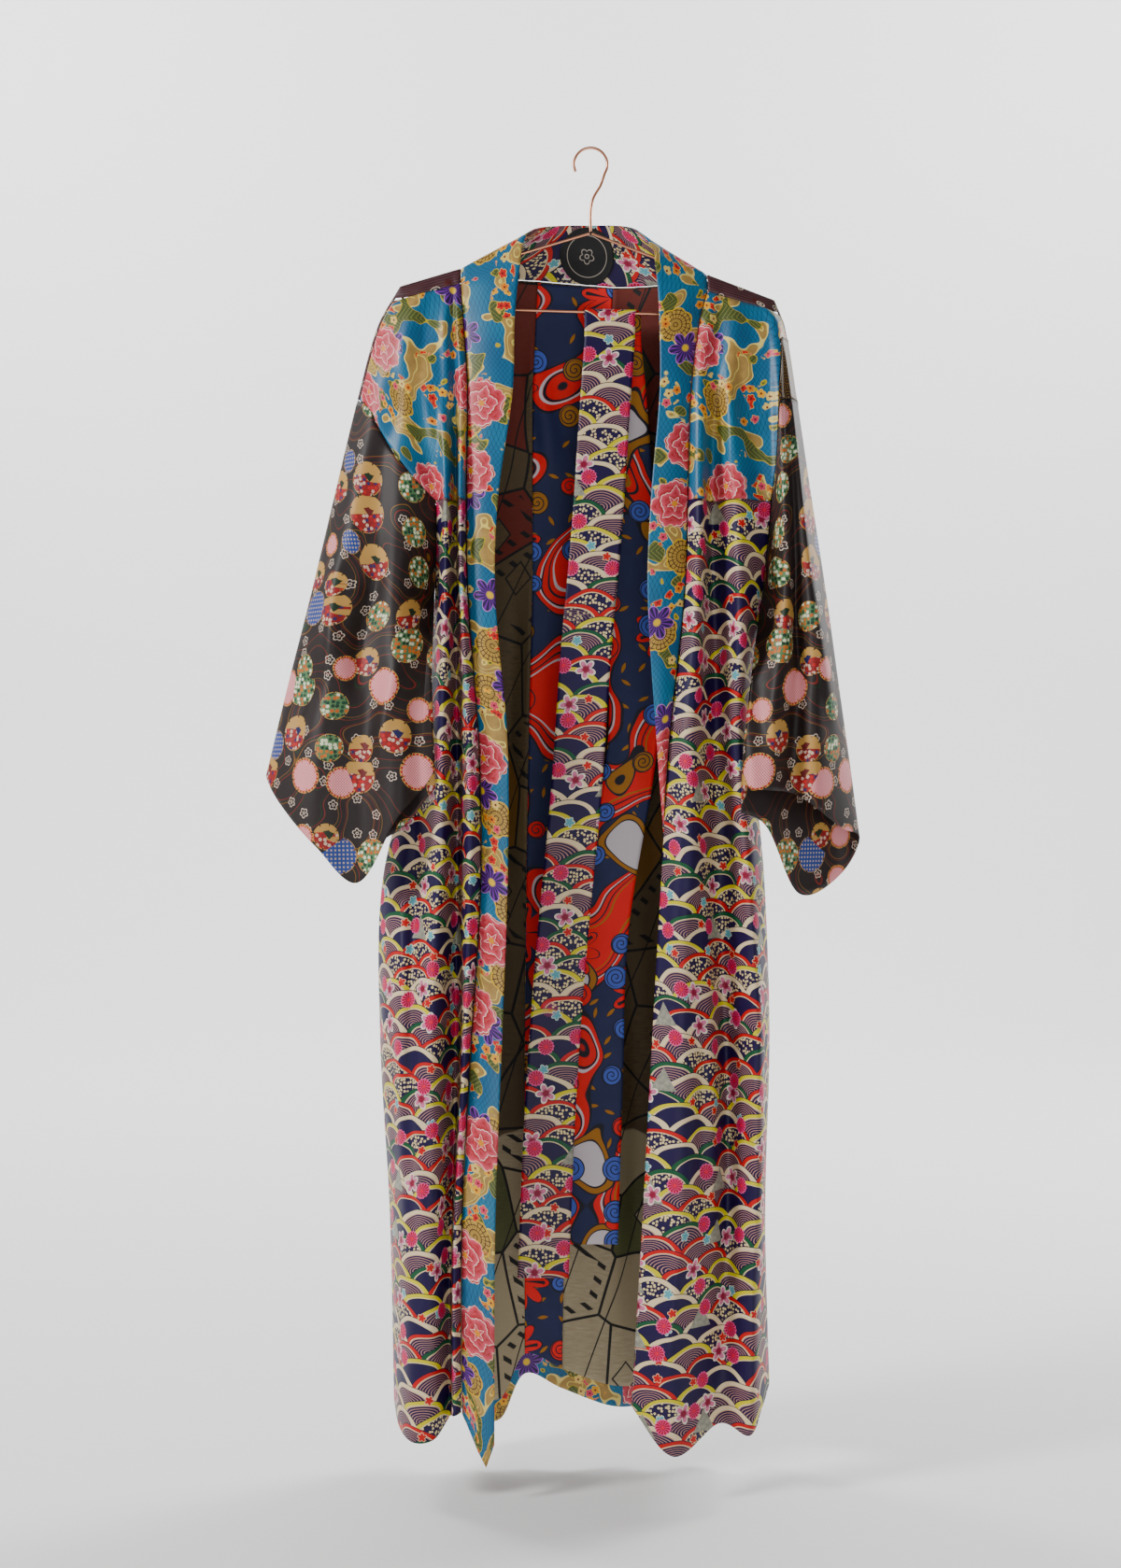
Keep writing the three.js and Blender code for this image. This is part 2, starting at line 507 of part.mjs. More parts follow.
// The neck band: up the left front edge, round the neck, down the right front edge. Its
// seam follows the edges of the panels that it is sewn to.
function neckBand() {
  const free = new THREE.CatmullRomCurve3(NECK_FREE.map((point) => new THREE.Vector3(...point)));
  const round = [...stripLeft[0], ...backNeck, ...[...stripRight[0]].reverse()];
  const turn = stripLeft[0].length - 1;
  const neck = round.map((seam, k) => {
    const last = round.length - 1;
    let share = 0.5 + (k - last / 2) / (last - 2 * turn) * (1 - 2 * NECK_TURN);
    if (k < turn) share = NECK_TURN * k / turn;
    if (k > last - turn) share = 1 - NECK_TURN * (last - k) / turn;
    return { seam, free: free.getPoint(share), crown: 0 };
  });
  const front = (yoke, panel, rows, edge) => [...yoke[0].slice(0, -1), ...panel[0]].map((seam) => (
    { seam, free: freeInFront(rows, edge, seam), crown: BAND_CROWN }));
  const left = front(yokeLeft, skirtLeft, FRONT_LEFT, BAND_EDGE_LEFT).reverse();
  const right = front(yokeRight, skirtRight, FRONT_RIGHT, BAND_EDGE_RIGHT);
  const grid = [...left, ...neck, ...right].map(({ seam, free: edge, crown }) => {
    const sewn = seam.clone().addScaledVector(edge.clone().sub(seam).normalize(), BAND_GAP);
    return BAND_ACROSS.map((share) => {
      const point = sewn.clone().lerp(edge, share);
      point.y -= crown * Math.sin(Math.PI * share);
      return point;
    });
  });
  BAND_TIP.forEach((drop, k) => {
    grid[0][k].z -= drop;
  });
  return grid;
}

const bandGrid = neckBand();

// The round patch follows the inside of the band at the back of the neck.
function labelPatch() {
  const radius = PATCH_ROUND / 2;
  const middle = (bandGrid.length - 1) / 2;
  const lineAt = (place, up) => {
    const i = Math.floor(place);
    return along(bandGrid[i], up).lerp(along(bandGrid[i + 1], up), place - i);
  };
  const bandPoint = (x, up) => {
    let [a, b] = [middle - PATCH_REACH, middle + PATCH_REACH];
    for (let k = 0; k < HALVINGS; k += 1) {
      const half = (a + b) / 2;
      if (lineAt(half, up).x < x) a = half;
      else b = half;
    }
    return lineAt(a, up);
  };
  const high = bandPoint(PATCH_X, 1).z - bandPoint(PATCH_X, 0).z;
  return spread(-1, 1, PATCH_STEPS).map((u) => spread(-1, 1, PATCH_STEPS).map((v) => {
    const x = u * Math.sqrt(1 - v * v / 2) * radius;
    const z = v * Math.sqrt(1 - u * u / 2) * radius;
    return bandPoint(PATCH_X + x, PATCH_UP - z / high);
  }));
}

// A panel of the back lining, from the points of the back, moved inwards.
function backLining(from, to) {
  const whole = yokeBack.body.map((line, i) => [...line, ...skirtBack[i].slice(1)]);
  const normals = normalsOf(whole);
  const trim = (line, i, mix) => {
    const kept = line.slice();
    const above = line.length - 2;
    const gapTop = LINING_TOP / (whole[i][0].z - whole[i][1].z);
    const gapHem = LINING_SHORT / (whole[i][above].z - whole[i][above + 1].z);
    kept[0] = mix(line[0], line[1], gapTop);
    kept[above + 1] = mix(line[above + 1], line[above], gapHem);
    return kept;
  };
  const lerp = (a, b, t) => a.clone().lerp(b, t);
  const [a, b] = [from * 2, to * 2];
  const seamGap = SEAM / 2;
  const points = whole.slice(a, b + 1).map((line, k) => trim(line, a + k, lerp));
  const turn = (p, q, t) => lerp(p, q, t).normalize();
  const facing = normals.slice(a, b + 1).map((line, k) => trim(line, a + k, turn));
  const inward = (p, next) => p.clone().addScaledVector(next.clone().sub(p).normalize(), seamGap);
  for (const [edge, next] of [[0, 1], [points.length - 1, points.length - 2]]) {
    points[edge] = points[edge].map((p, j) => inward(p, points[next][j]));
  }
  return wall(points, LINING, -(CLOTH + LINING) / 2 - SEAM, facing);
}

function barHeight(x) {
  return BAR_LEFT_Z + (BAR_RIGHT_Z - BAR_LEFT_Z) * (x - TIP_LEFT_X) / (TIP_RIGHT_X - TIP_LEFT_X);
}

function sash() {
  const columns = [0, 1 / 3, 2 / 3, 1];
  const lineOf = (rows, z) => {
    const heights = rows.map((row) => row.z);
    return ['left', 'depth'].map((name) => track(heights, rows.map((row) => row[name]), z));
  };
  const falling = [...SASH_FRONT].reverse();
  const length = (rows, z) => {
    const [left, depth] = lineOf(rows, z);
    return columns.map((c) => new THREE.Vector3(left + SASH_WIDE * c, depth, z));
  };
  const frontHeights = spread(falling[falling.length - 1].z, falling[0].z, SASH_ROWS);
  const backHeights = spread(SASH_BACK[0].z, SASH_BACK[SASH_BACK.length - 1].z, SASH_ROWS);
  const radius = WIRE / 2 + SEAM + SASH_THICK / 2;
  const shift = SASH_BACK[0].left - falling[0].left;
  const over = spread(0, 1, 6).map((share) => columns.map((c) => {
    const angle = Math.PI * (share - 0.5);
    const x = falling[0].left + shift * share + SASH_WIDE * c;
    return new THREE.Vector3(x, radius * Math.sin(angle), barHeight(x) + radius * Math.cos(angle));
  }));
  const grid = [
    ...frontHeights.map((z) => length(falling, z)), ...over, ...backHeights.map((z) => length(SASH_BACK, z)),
  ];
  return wall(grid, SASH_THICK);
}

// Round wire along a path.
function wire(path, steps) {
  const section = new THREE.Shape().absarc(0, 0, WIRE / 2, 0, Math.PI * 2);
  return new THREE.ExtrudeGeometry(section, { extrudePath: path, steps, curveSegments: 4 });
}

function hangerFrame() {
  const point = (x, z) => new THREE.Vector3(x, 0, z);
  const path = new THREE.CurvePath();
  const start = point(-APEX_GAP, wireHeight(-APEX_GAP));
  const end = point(APEX_GAP, wireHeight(APEX_GAP));
  const leftArm = point(TIP_LEFT_X + TIP_ROUND, wireHeight(TIP_LEFT_X + TIP_ROUND));
  const leftTip = point(TIP_LEFT_X - TIP_ROUND / 4, (TIP_LEFT_Z + BAR_LEFT_Z) / 2);
  const leftBar = point(TIP_LEFT_X + TIP_ROUND, barHeight(TIP_LEFT_X + TIP_ROUND));
  const rightBar = point(TIP_RIGHT_X - TIP_ROUND, barHeight(TIP_RIGHT_X - TIP_ROUND));
  const rightTip = point(TIP_RIGHT_X + TIP_ROUND / 4, (TIP_RIGHT_Z + BAR_RIGHT_Z) / 2);
  const rightArm = point(TIP_RIGHT_X - TIP_ROUND, wireHeight(TIP_RIGHT_X - TIP_ROUND));
  path.add(new THREE.LineCurve3(start, leftArm));
  const bend = (from, tip, before, after, to) => {
    path.add(new THREE.CubicBezierCurve3(from, point(tip.x, before), point(tip.x, after), to));
  };
  bend(leftArm, leftTip, TIP_LEFT_Z, BAR_LEFT_Z, leftBar);
  path.add(new THREE.LineCurve3(leftBar, rightBar));
  bend(rightBar, rightTip, BAR_RIGHT_Z, TIP_RIGHT_Z, rightArm);
  path.add(new THREE.LineCurve3(rightArm, end));
  return wire(path, FRAME_STEPS);
}

function hangerHook() {
  const foot = APEX_Z + WIRE / 2 + SEAM / 2;
  const centre = WIRE / 2 - HOOK_RADIUS;
  const points = NECK_OF_HOOK.map(([x, up]) => [x, foot + up]);
  spread(HOOK_START, HOOK_END, 8).forEach((degrees) => {
    const angle = THREE.MathUtils.degToRad(degrees);
    points.push([HOOK_RADIUS * Math.cos(angle), centre + HOOK_RADIUS * Math.sin(angle)]);
  });
  const path = points.map(([x, z]) => new THREE.Vector3(x, 0, z));
  return wire(new THREE.CatmullRomCurve3(path), HOOK_STEPS);
}

add('front_yoke_left', wall(yokeLeft, CLOTH), finish('floral'));
add('front_yoke_right', wall(yokeRight, CLOTH), finish('floral'));
add('front_skirt_left', wall(skirtLeft, CLOTH), finish('wave'));
add('front_skirt_right', wall(skirtRight, CLOTH), finish('wave'));
add('shoulder_left', wall(stripLeft, CLOTH), finish('mauve'));
add('shoulder_right', wall(stripRight, CLOTH), finish('mauve'));
add('back_yoke', wall([...yokeBack.leftCap, ...yokeBack.body, ...yokeBack.rightCap], CLOTH), finish('mauve'));
add('back_skirt', wall(skirtBack, CLOTH), finish('floral'));
add('sleeve_left', wall(sleevePanel(sleeveLeft), CLOTH), finish('brown'));
add('sleeve_right', wall(sleevePanel(sleeveRight), CLOTH), finish('brown'));
add('sleeve_patch_right', wall(sleevePatch(sleeveRight), CLOTH), finish('black'));
add('neckband', wall(bandGrid, CLOTH), finish('floral'));
add('label_patch', wall(labelPatch(), LINING, -(CLOTH + LINING) / 2 - SEAM), finish('label'));
LINING_PANELS.forEach(({ side, from, to, cloth }) => {
  add(`lining_back_${side}`, backLining(from, to), finish(cloth));
});
add('belt', sash(), finish('wave'));
add('hanger_frame', hangerFrame(), copper());
add('hanger_hook', hangerHook(), copper());

export default robe;
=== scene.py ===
"""A patchwork kimono robe on a wire hanger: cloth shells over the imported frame.

Tables are in millimetres, meshes in metres. +Z is up and the front faces -Y.
"""
import math

import bpy
import numpy as np
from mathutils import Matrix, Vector


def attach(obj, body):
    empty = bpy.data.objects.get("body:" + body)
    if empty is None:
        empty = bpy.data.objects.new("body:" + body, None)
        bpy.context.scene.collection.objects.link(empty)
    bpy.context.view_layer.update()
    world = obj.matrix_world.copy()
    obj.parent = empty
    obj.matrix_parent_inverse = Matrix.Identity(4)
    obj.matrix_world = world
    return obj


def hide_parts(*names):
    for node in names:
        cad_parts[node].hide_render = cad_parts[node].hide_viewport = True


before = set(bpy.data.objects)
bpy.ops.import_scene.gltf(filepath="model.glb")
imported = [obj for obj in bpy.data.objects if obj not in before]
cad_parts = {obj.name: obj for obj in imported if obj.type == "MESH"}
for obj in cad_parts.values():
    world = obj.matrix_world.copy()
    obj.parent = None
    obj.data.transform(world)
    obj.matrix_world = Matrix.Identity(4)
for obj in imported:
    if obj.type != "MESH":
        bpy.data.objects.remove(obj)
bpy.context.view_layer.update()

MM = 0.001

# Cloth walls, seam gap, the sash, and how far the lining lies inside and ends above the hem.
CLOTH = 1.1
LINING = 0.8
SASH_THICK = 1.8
SEAM = 0.4
SASH_WIDE = 57
SASH_CLEAR = 0.75
LINING_OFF = 1.8
LINING_SHORT = 22
# The share of the first row of points that the lining leaves free at its top.
LINING_TOP = 0.3
# The round patch: its middle across the neck and as a share of the band's width.
PATCH_RADIUS = 31
PATCH_X = -4
PATCH_SHARE = 0.48
PATCH_GAP = 0.3
BAND_WIDE = 64
# Steps of the cloth's grid, across and down.
ACROSS_STEP = 3.6
DOWN_STEP = 6.0
# Points with which the way from one fold line to the next is measured.
MEASURE_POINTS = 9

# Hanger: its wire, its triangle and its hook, with the gap in the triangle under the stem.
WIRE = 3.2
APEX_Z = -95
TIP_LEFT_X, TIP_LEFT_Z, BAR_LEFT_Z = -213, -158, -178
TIP_RIGHT_X, TIP_RIGHT_Z, BAR_RIGHT_Z = 207, -174, -190
TIP_ROUND = 16
HOOK_RADIUS = 19
HOOK_FROM, HOOK_TO = -35, 205
HOOK_GAP = 0.2
STEM_HALF = 1.2
# The hook's stem up to its bend: x, and height over its foot.
HOOK_STEM = [(0, 0), (0, 22), (3, 38), (11, 52)]
# The shoulder strips: their rise over the wire, and their fall in front and behind.
ARCH = 3.2
STRIP_FRONT = 15
STRIP_BACK = 12
# How far the creases fade out before a side seam.
SIDE_CALM = 18

BODY_LEVELS = [-200, -280, -401, -506, -675, -830, -1000, -1200]
SLEEVE_LEVELS = [-200, -280, -401, -506, -600, -707, -828]
CROSS_SEAM = -401
# Lines that turn do so within a short way below the armpit.
ARMPIT = -506
TURN = 6

# Where the side seams, armholes and sleeve edges run across, in front and behind alike.
SIDE_LEFT = [-175, -186, -189, -173, -176, -200, -236, -238, -227, -222]
SIDE_RIGHT = [180, 196, 200, 200, 194, 186, 197, 202, 197, 202]
ARM_LEFT = [-175, -186, -189, -173.6, -175.8, -176, -172, -172]
ARM_RIGHT = [180, 196, 200, 202, 194, 178, 166, 165]
EDGE_LEFT = [-208, -231, -252, -280, -301, -320, -340, -350]
EDGE_RIGHT = [203, 215, 228, 242, 256, 266, 276, 282]
# Ends of most of the right sleeve's folds, under its patch.
UNDER_PATCH = {"seam": -287, "patch": -216, "slack": 0.3}


def fold(name, across, depth, **more):
    """One fold line: across is x and depth is y, at the shoulder, each level and the hem."""
    return {"fold": name, "across": across, "depth": depth, **more}


FRONT_LEFT = [
    fold("band seam", [-148, -143, -138, -139, -137, -124, -122, -132, -142, -142],
         [-3.6, -20, -32, -40, -50, -62, -69, -76, -83, -88], hem=-1402),
    fold("narrow ridge", [-151, -149, -145, -145, -143, -136, -135, -139, -149, -150],
         [-3.2, -24, -38, -54, -64, -76, -82, -88, -91, -94], hem=-1404),
    fold("first valley", [-154, -155, -152, -151, -151, -149, -148, -148, -155, -156],
         [-3.2, -18, -24, -26, -34, -42, -48, -56, -63, -68], hem=-1412),
    fold("wide ridge", [-158, -163, -162, -160, -160, -163, -164, -168, -172, -172],
         [-3.2, -24, -38, -54, -62, -70, -74, -86, -91, -92], hem=-1430),
    fold("roll", [-163, -171, -173, -167, -168, -179, -186, -198, -197, -195],
         [-3.2, -21, -32, -40, -42, -44, -50, -82, -87, -88], hem=-1434),
    fold("flank", [-169, -179, -182, -171, -170, -192, -218, -226, -215, -212],
         [-3.2, -19, -28, -34, -24, -14, -26, -46, -53, -54], hem=-1426),
    fold("side seam", SIDE_LEFT, [-3.2, -18, -26, -32, -1, 8, 4, 0, 0, 0], hem=-1409, turns=True),
]
FRONT_RIGHT = [
    fold("band seam", [136, 122, 112, 108, 104, 86, 76, 66, 55, 43],
         [-3.6, -20, -32, -38, -46, -58, -67, -74, -81, -86], hem=-1395),
    fold("near ridge", [143, 132, 122, 121, 120, 110, 104, 101, 97, 88],
         [-3.2, -24, -38, -52, -60, -72, -83, -90, -96, -100], hem=-1446),
    fold("first valley", [151, 143, 137, 136, 136, 137, 140, 148, 151, 140],
         [-3.2, -18, -23, -23, -26, -34, -41, -51, -59, -65], hem=-1420),
    fold("wide ridge", [161, 160, 158, 161, 161, 156, 168, 180, 180, 172],
         [-3.2, -24, -37, -50, -56, -62, -71, -76, -80, -84], hem=-1428),
    fold("flank", [171, 179, 182, 186, 182, 173, 187, 193, 191, 188],
         [-3.2, -19, -27, -36, -30, -33, -40, -45, -49, -52], hem=-1408),
    fold("side seam", SIDE_RIGHT, [-3.2, -18, -26, -33, -1, 8, 4, 0, 0, 0], hem=-1392, turns=True),
]
BACK = [
    fold("left side seam", SIDE_LEFT, [3.2, 18, 24, 28, 1, 8.9, 4.9, 0.9, 0.9, 0.9], hem=-1409, turns=True),
    fold("left flank", [-169, -179, -182, -168, -168, -190, -218, -224, -213, -208],
         [3.2, 19, 27, 34, 29, 30, 33, 38, 44, 48], hem=-1420),
    fold("left ridge", [-158, -163, -164, -158, -156, -168, -182, -189, -183, -178],
         [3.2, 22, 32, 44, 48, 58, 64, 71, 76, 80], hem=-1424),
    fold("left valley", [-147, -145, -142, -138, -136, -141, -148, -149, -144, -140],
         [3.2, 19, 27, 34, 36, 40, 43, 44, 45, 46], hem=-1440),
    fold("left blade", [-108, -112, -113, -112, -112, -110, -111, -110, -106, -104],
         [12, 25, 35, 44, 50, 56, 57, 58, 56, 54], hem=-1450),
    fold("left neck", [-60, -63, -65, -66, -66, -70, -73, -75, -76, -76],
         [22, 30, 35, 38, 40, 46, 50, 56, 64, 70], hem=-1402),
    fold("middle", [26, 24, 21, 16, 12, 1, -10, -20, -29, -32],
         [28, 34, 40, 45, 48, 55, 60, 65, 70, 74], hem=-1420),
    fold("right neck", [66, 65, 63, 60, 58, 49, 42, 35, 29, 26],
         [22, 30, 35, 38, 42, 46, 49, 52, 56, 58], hem=-1436),
    fold("right blade", [100, 102, 101, 98, 96, 88, 84, 79, 74, 72],
         [12, 25, 34, 42, 48, 55, 61, 67, 72, 76], hem=-1438),
    fold("right valley", [137, 134, 132, 130, 128, 124, 122, 120, 116, 114],
         [3.2, 19, 27, 34, 36, 40, 43, 46, 49, 52], hem=-1426),
    fold("right ridge", [158, 160, 161, 160, 160, 158, 161, 162, 160, 158],
         [3.2, 22, 31, 42, 46, 56, 62, 68, 73, 78], hem=-1430),
    fold("right flank", [171, 184, 188, 190, 186, 177, 187, 191, 187, 188],
         [3.2, 19, 27, 34, 28, 30, 33, 37, 43, 46], hem=-1416),
    fold("right side seam", SIDE_RIGHT,
         [3.2, 18, 25, 28, 1, 8.9, 4.9, 0.9, 0.9, 0.9], hem=-1392, turns=True),
]
SLEEVE_LEFT = [
    fold("front armhole", ARM_LEFT,
         [-3.2, -18, -26, -32, -4, -52, -69, -71], seam=-401, cuff=-707, turns=True),
    fold("front ridge", [-184, -202, -210, -208, -211, -215, -214, -214],
         [-3.2, -22, -36, -50, -54, -68, -82, -84], seam=-362, cuff=-757),
    fold("front valley", [-193, -213, -226, -236, -242, -248, -254, -258],
         [-3.2, -18, -30, -40, -44, -50, -57, -59], seam=-330, cuff=-826),
    fold("front outer ridge", [-201, -223, -240, -262, -276, -290, -302, -306],
         [-3.2, -14, -25, -40, -48, -56, -64, -66], seam=-302, cuff=-784),
    fold("front edge", EDGE_LEFT, [-3.2, -9, -15, -22, -28, -32, -36, -38], seam=-289, cuff=-742),
    fold("outer fold", [-218, -240, -262, -291, -316, -340, -366, -396], [0] * 8, seam=-283, cuff=-707),
    fold("back edge", EDGE_LEFT, [3.2, 9, 15, 20, 20, 18, 15, 13], seam=-289, cuff=-738),
    fold("back ridge", [-198, -217, -232, -250, -262, -270, -280, -284],
         [3.2, 17, 28, 36, 30, 12, -6, -12], seam=-312, cuff=-792),
    fold("back valley", [-184, -202, -211, -210, -212, -215, -216, -216],
         [3.2, 18, 27, 32, 16, -24, -50, -54], seam=-358, cuff=-770),
    fold("back armhole", ARM_LEFT,
         [3.2, 18, 24, 28, 1, -49, -65.8, -67.8], seam=-401, cuff=-722, turns=True),
]
SLEEVE_RIGHT = [
    fold("front armhole", ARM_RIGHT,
         [-3.2, -18, -26, -33, -4, -46, -68, -70], seam=-401, patch=-401, slack=4, cuff=-722, turns=True),
    fold("front ridge", [187, 204, 210, 214, 214, 208, 195, 192],
         [-3.2, -20, -34, -50, -50, -64, -80, -82], seam=-290, patch=-268, slack=4, cuff=-724),
    fold("front valley", [193, 209, 217, 224, 228, 228, 222, 220],
         [-3.2, -18, -28, -40, -40, -46, -52, -54], seam=-287, patch=-218, slack=0.3, cuff=-727),
    fold("front outer ridge", [198, 212, 223, 234, 242, 246, 246, 244],
         [-3.2, -14, -26, -42, -50, -58, -66, -68], **UNDER_PATCH, cuff=-742),
    fold("front edge", EDGE_RIGHT, [-3.2, -8, -15, -24, -30, -34, -37, -38], **UNDER_PATCH, cuff=-766),
    fold("outer fold", [209, 219, 232, 250, 266, 279, 294, 310], [0] * 8, **UNDER_PATCH, cuff=-778),
    fold("back edge", EDGE_RIGHT, [3.2, 8, 15, 20, 22, 20, 16, 14], **UNDER_PATCH, cuff=-822),
    fold("back ridge", [196, 210, 219, 230, 238, 240, 236, 234],
         [3.2, 16, 27, 36, 30, 12, -8, -12], seam=-287, patch=-218, slack=0.3, cuff=-840),
    fold("back valley", [187, 204, 210, 213, 212, 207, 197, 195],
         [3.2, 18, 26, 32, 18, -22, -46, -48], seam=-290, patch=-268, slack=5, cuff=-766),
    fold("back armhole", ARM_RIGHT,
         [3.2, 18, 25, 28, 1, -43, -64.8, -66.8], seam=-401, patch=-401, slack=5, cuff=-748, turns=True),
]
# The neck part of the back starts at the neck seam, the rest at the wire.
NECK_TOPS = {"left blade": -143, "left neck": -144, "middle": -150, "right neck": -150, "right blade": -149}
# A sleeve's outer fold line, how far round it the shoulder strip goes, and how far its sides blend.
OUTER_FOLD = 5
STRIP_REACH = 0.45
SIDE_BLEND = 0.9
# How much the strip's edges draw in at its end, and the share of its reach that it keeps below.
END_TRIM = 4.5
END_WIDTH = 0.8
# Points on each side of the strip, and how those of its end spread over its reach, front to back.
FALL_POINTS = 5
STRIP_SPREAD = [-1, -0.7, -0.45, -0.2, 0, 0.2, 0.45, 0.7, 1]
# The band's free edge, at the wire's height, each body level and the hem.
BAND_EDGE_LEFT = fold("left band edge", [-80, -85, -87, -103, -106, -92, -92, -98, -105, -106],
                      [-22, -34, -42, -50, -58, -68, -76, -82, -88, -90], hem=-1424)
BAND_EDGE_RIGHT = fold("right band edge", [74, 76, 76, 66, 62, 72, 84, 87, 80, 70],
                       [-22, -34, -42, -50, -58, -65, -50, -50, -58, -66], hem=-1408)
# How far the band's lower end hangs, from seam to free edge, and its free edge round the neck.
BAND_TIP = [0, 14, 30, 42, 12]
NECK_FREE = [
    [-77, -14, -112], [-72, -6, -98], [-64, 3, -90], [-52, 11, -85], [-36, 16, -82.5],
    [-18, 20, -81], [0, 21, -81], [18, 20, -81], [34, 16, -82.5], [46, 11, -86], [56, 4, -93],
    [65, -6, -105], [71, -14, -118]]
# Share of the neck curve that each shoulder strip's end takes.
NECK_TURN = 0.22
BAND_CROWN = 3
BAND_GAP = 0.8

# The sash in front and behind: height, left edge and depth.
SASH_FRONT = [(-1268, -82, -30), (-1100, -75, -26), (-1000, -69, -27), (-886, -60, -24),
              (-728, -45, -20), (-570, -34, -18), (-422, -21, -13), (-300, -13, -8), (-215, -7, -4)]
SASH_BACK = [(-215, 0, 4), (-300, 8, 6), (-422, 16, 8), (-570, 20, 10), (-675, 19, 12),
             (-886, -14, 14), (-1050, -20, 14), (-1240, -26, 15)]
# Panels of the back lining: side, first and last fold line, and cloth.
LINING_PANELS = [("left", 1, 5, "beige"), ("centre", 5, 6, "navy"), ("right", 6, 11, "beige")]

# How a crease runs: its wander as a share of its width, the waves and shift of it, and its ends' taper.
WANDER, WANDER_WAVES, WANDER_SHIFT, TAPER = 0.5, 5.0, 0.3, 1.25
# Creases laid into the cloth: x and z of both ends, width, and depth towards the viewer.
FRONT_CREASES = [
    (-172, -190, -150, -360, 7, -5.4), (-190, -210, -168, -400, 8, 5.4), (-205, -230, -230, -360, 9, -5.4),
    (-160, -420, -170, -700, 8, 5.4), (-185, -560, -205, -900, 9, -5.4), (-205, -760, -214, -1150, 9, 5.4),
    (-160, -760, -164, -1180, 7, -5.4), (-185, -1000, -180, -1390, 9, 5.4),
    (-225, -900, -218, -1300, 8, -5.4), (-150, -1100, -152, -1380, 6, 5.4),
    (-236, -440, -262, -640, 10, -8.1), (-272, -430, -300, -620, 10, 8.1),
    (-300, -560, -330, -700, 11, -8.1), (-215, -560, -232, -720, 10, 8.1), (140, -190, 128, -380, 7, 5.4),
    (168, -200, 172, -390, 8, -5.4), (152, -230, 150, -400, 6, 5.4), (128, -420, 124, -700, 7, -5.4),
    (172, -430, 158, -620, 8, 5.4), (112, -640, 110, -900, 7, 5.4), (150, -700, 172, -980, 9, -5.4),
    (176, -800, 184, -1120, 8, 5.4), (120, -940, 124, -1260, 8, -5.4), (160, -1060, 164, -1380, 9, 5.4),
    (96, -1120, 84, -1400, 7, 5.4), (188, -1180, 184, -1380, 7, -5.4), (149, -410, 150, -900, 10, -14),
    (152, -800, 143, -1400, 11, -15), (172, -420, 169, -1000, 10, 8), (128, -700, 130, -1250, 8, 6.8),
    (-152, -480, -146, -1400, 8, -12), (-168, -640, -172, -1400, 8, 6.8),
    (-192, -640, -196, -1300, 8, -9.5), (-130, -520, -126, -900, 6, 5.4), (228, -440, 236, -640, 8, -8.1),
    (252, -470, 268, -680, 8, 8.1), (205, -560, 200, -700, 7, 5.4),
]
BACK_CREASES = [
    (-140, -200, -120, -380, 10.2, 8), (-60, -190, -50, -390, 11.9, -8), (60, -190, 64, -390, 11.9, 8),
    (140, -200, 120, -380, 10.2, -8), (-170, -420, -190, -800, 12.8, -11.2),
    (-90, -430, -86, -900, 13.6, 11.2), (0, -430, -24, -980, 14.4, -11.2), (80, -420, 66, -860, 12.8, 11.2),
    (150, -440, 150, -860, 12.8, -11.2), (-130, -700, -130, -1300, 13.6, 11.2),
    (-40, -840, -52, -1380, 13.6, -11.2), (48, -820, 40, -1400, 13.6, 11.2),
    (120, -800, 108, -1390, 12.8, -11.2), (176, -860, 176, -1380, 11, 11.2),
    (-200, -820, -200, -1390, 11, -11.2), (-230, -240, -260, -420, 11, 8),
    (-250, -470, -284, -700, 11.9, -11.2), (222, -250, 236, -430, 10.2, 8),
    (236, -470, 256, -720, 10.2, -11.2),
]


def wire_height(x):
    """Height of the hanger's arms."""
    x = np.asarray(x, dtype=float)
    left = (APEX_Z - TIP_LEFT_Z) / -TIP_LEFT_X
    right = (TIP_RIGHT_Z - APEX_Z) / TIP_RIGHT_X
    return APEX_Z + np.where(x < 0, left, right) * x


def bar_height(x):
    """Height of the hanger's lower bar."""
    slope = (BAR_RIGHT_Z - BAR_LEFT_Z) / (TIP_RIGHT_X - TIP_LEFT_X)
    return BAR_LEFT_Z + slope * (x - TIP_LEFT_X)


def track(heights, values, z):
    """Values at heights z along a line of falling heights, smooth through every given one."""
    h, v, z = np.asarray(heights, float), np.asarray(values, float), np.asarray(z, float)
    k = np.arange(len(h))
    a, b = np.maximum(k - 1, 0), np.minimum(k + 1, len(h) - 1)
    slope = (v[b] - v[a]) / (h[b] - h[a])
    i = np.clip(np.searchsorted(-h, -z, side="right") - 1, 0, len(h) - 2)
    span = h[i + 1] - h[i]
    t = (z - h[i]) / span
    inner = (v[i] * (2 * t**3 - 3 * t**2 + 1) + slope[i] * span * (t**3 - 2 * t**2 + t)
             + v[i + 1] * (3 * t**2 - 2 * t**3) + slope[i + 1] * span * (t**3 - t**2))
    above = v[i] + slope[i] * (z - h[i])
    below = v[i + 1] + slope[i + 1] * (z - h[i + 1])
    return np.where(t < 0, above, np.where(t > 1, below, inner))


def blend(values, u):
    """Catmull-Rom through the entries of values at whole steps of u."""
    last = len(values) - 1
    i = min(max(math.floor(u), 0), last - 1)
    t = u - i
    a, b = values[i], values[i + 1]
    before = values[i - 1] if i > 0 else 2 * values[0] - values[1]
    after = values[i + 2] if i + 2 <= last else 2 * values[last] - values[last - 1]
    return 0.5 * (2 * a + (b - before) * t + (2 * before - 5 * a + 4 * b - after) * t * t
                  + (3 * a - before - 3 * b + after) * t**3)


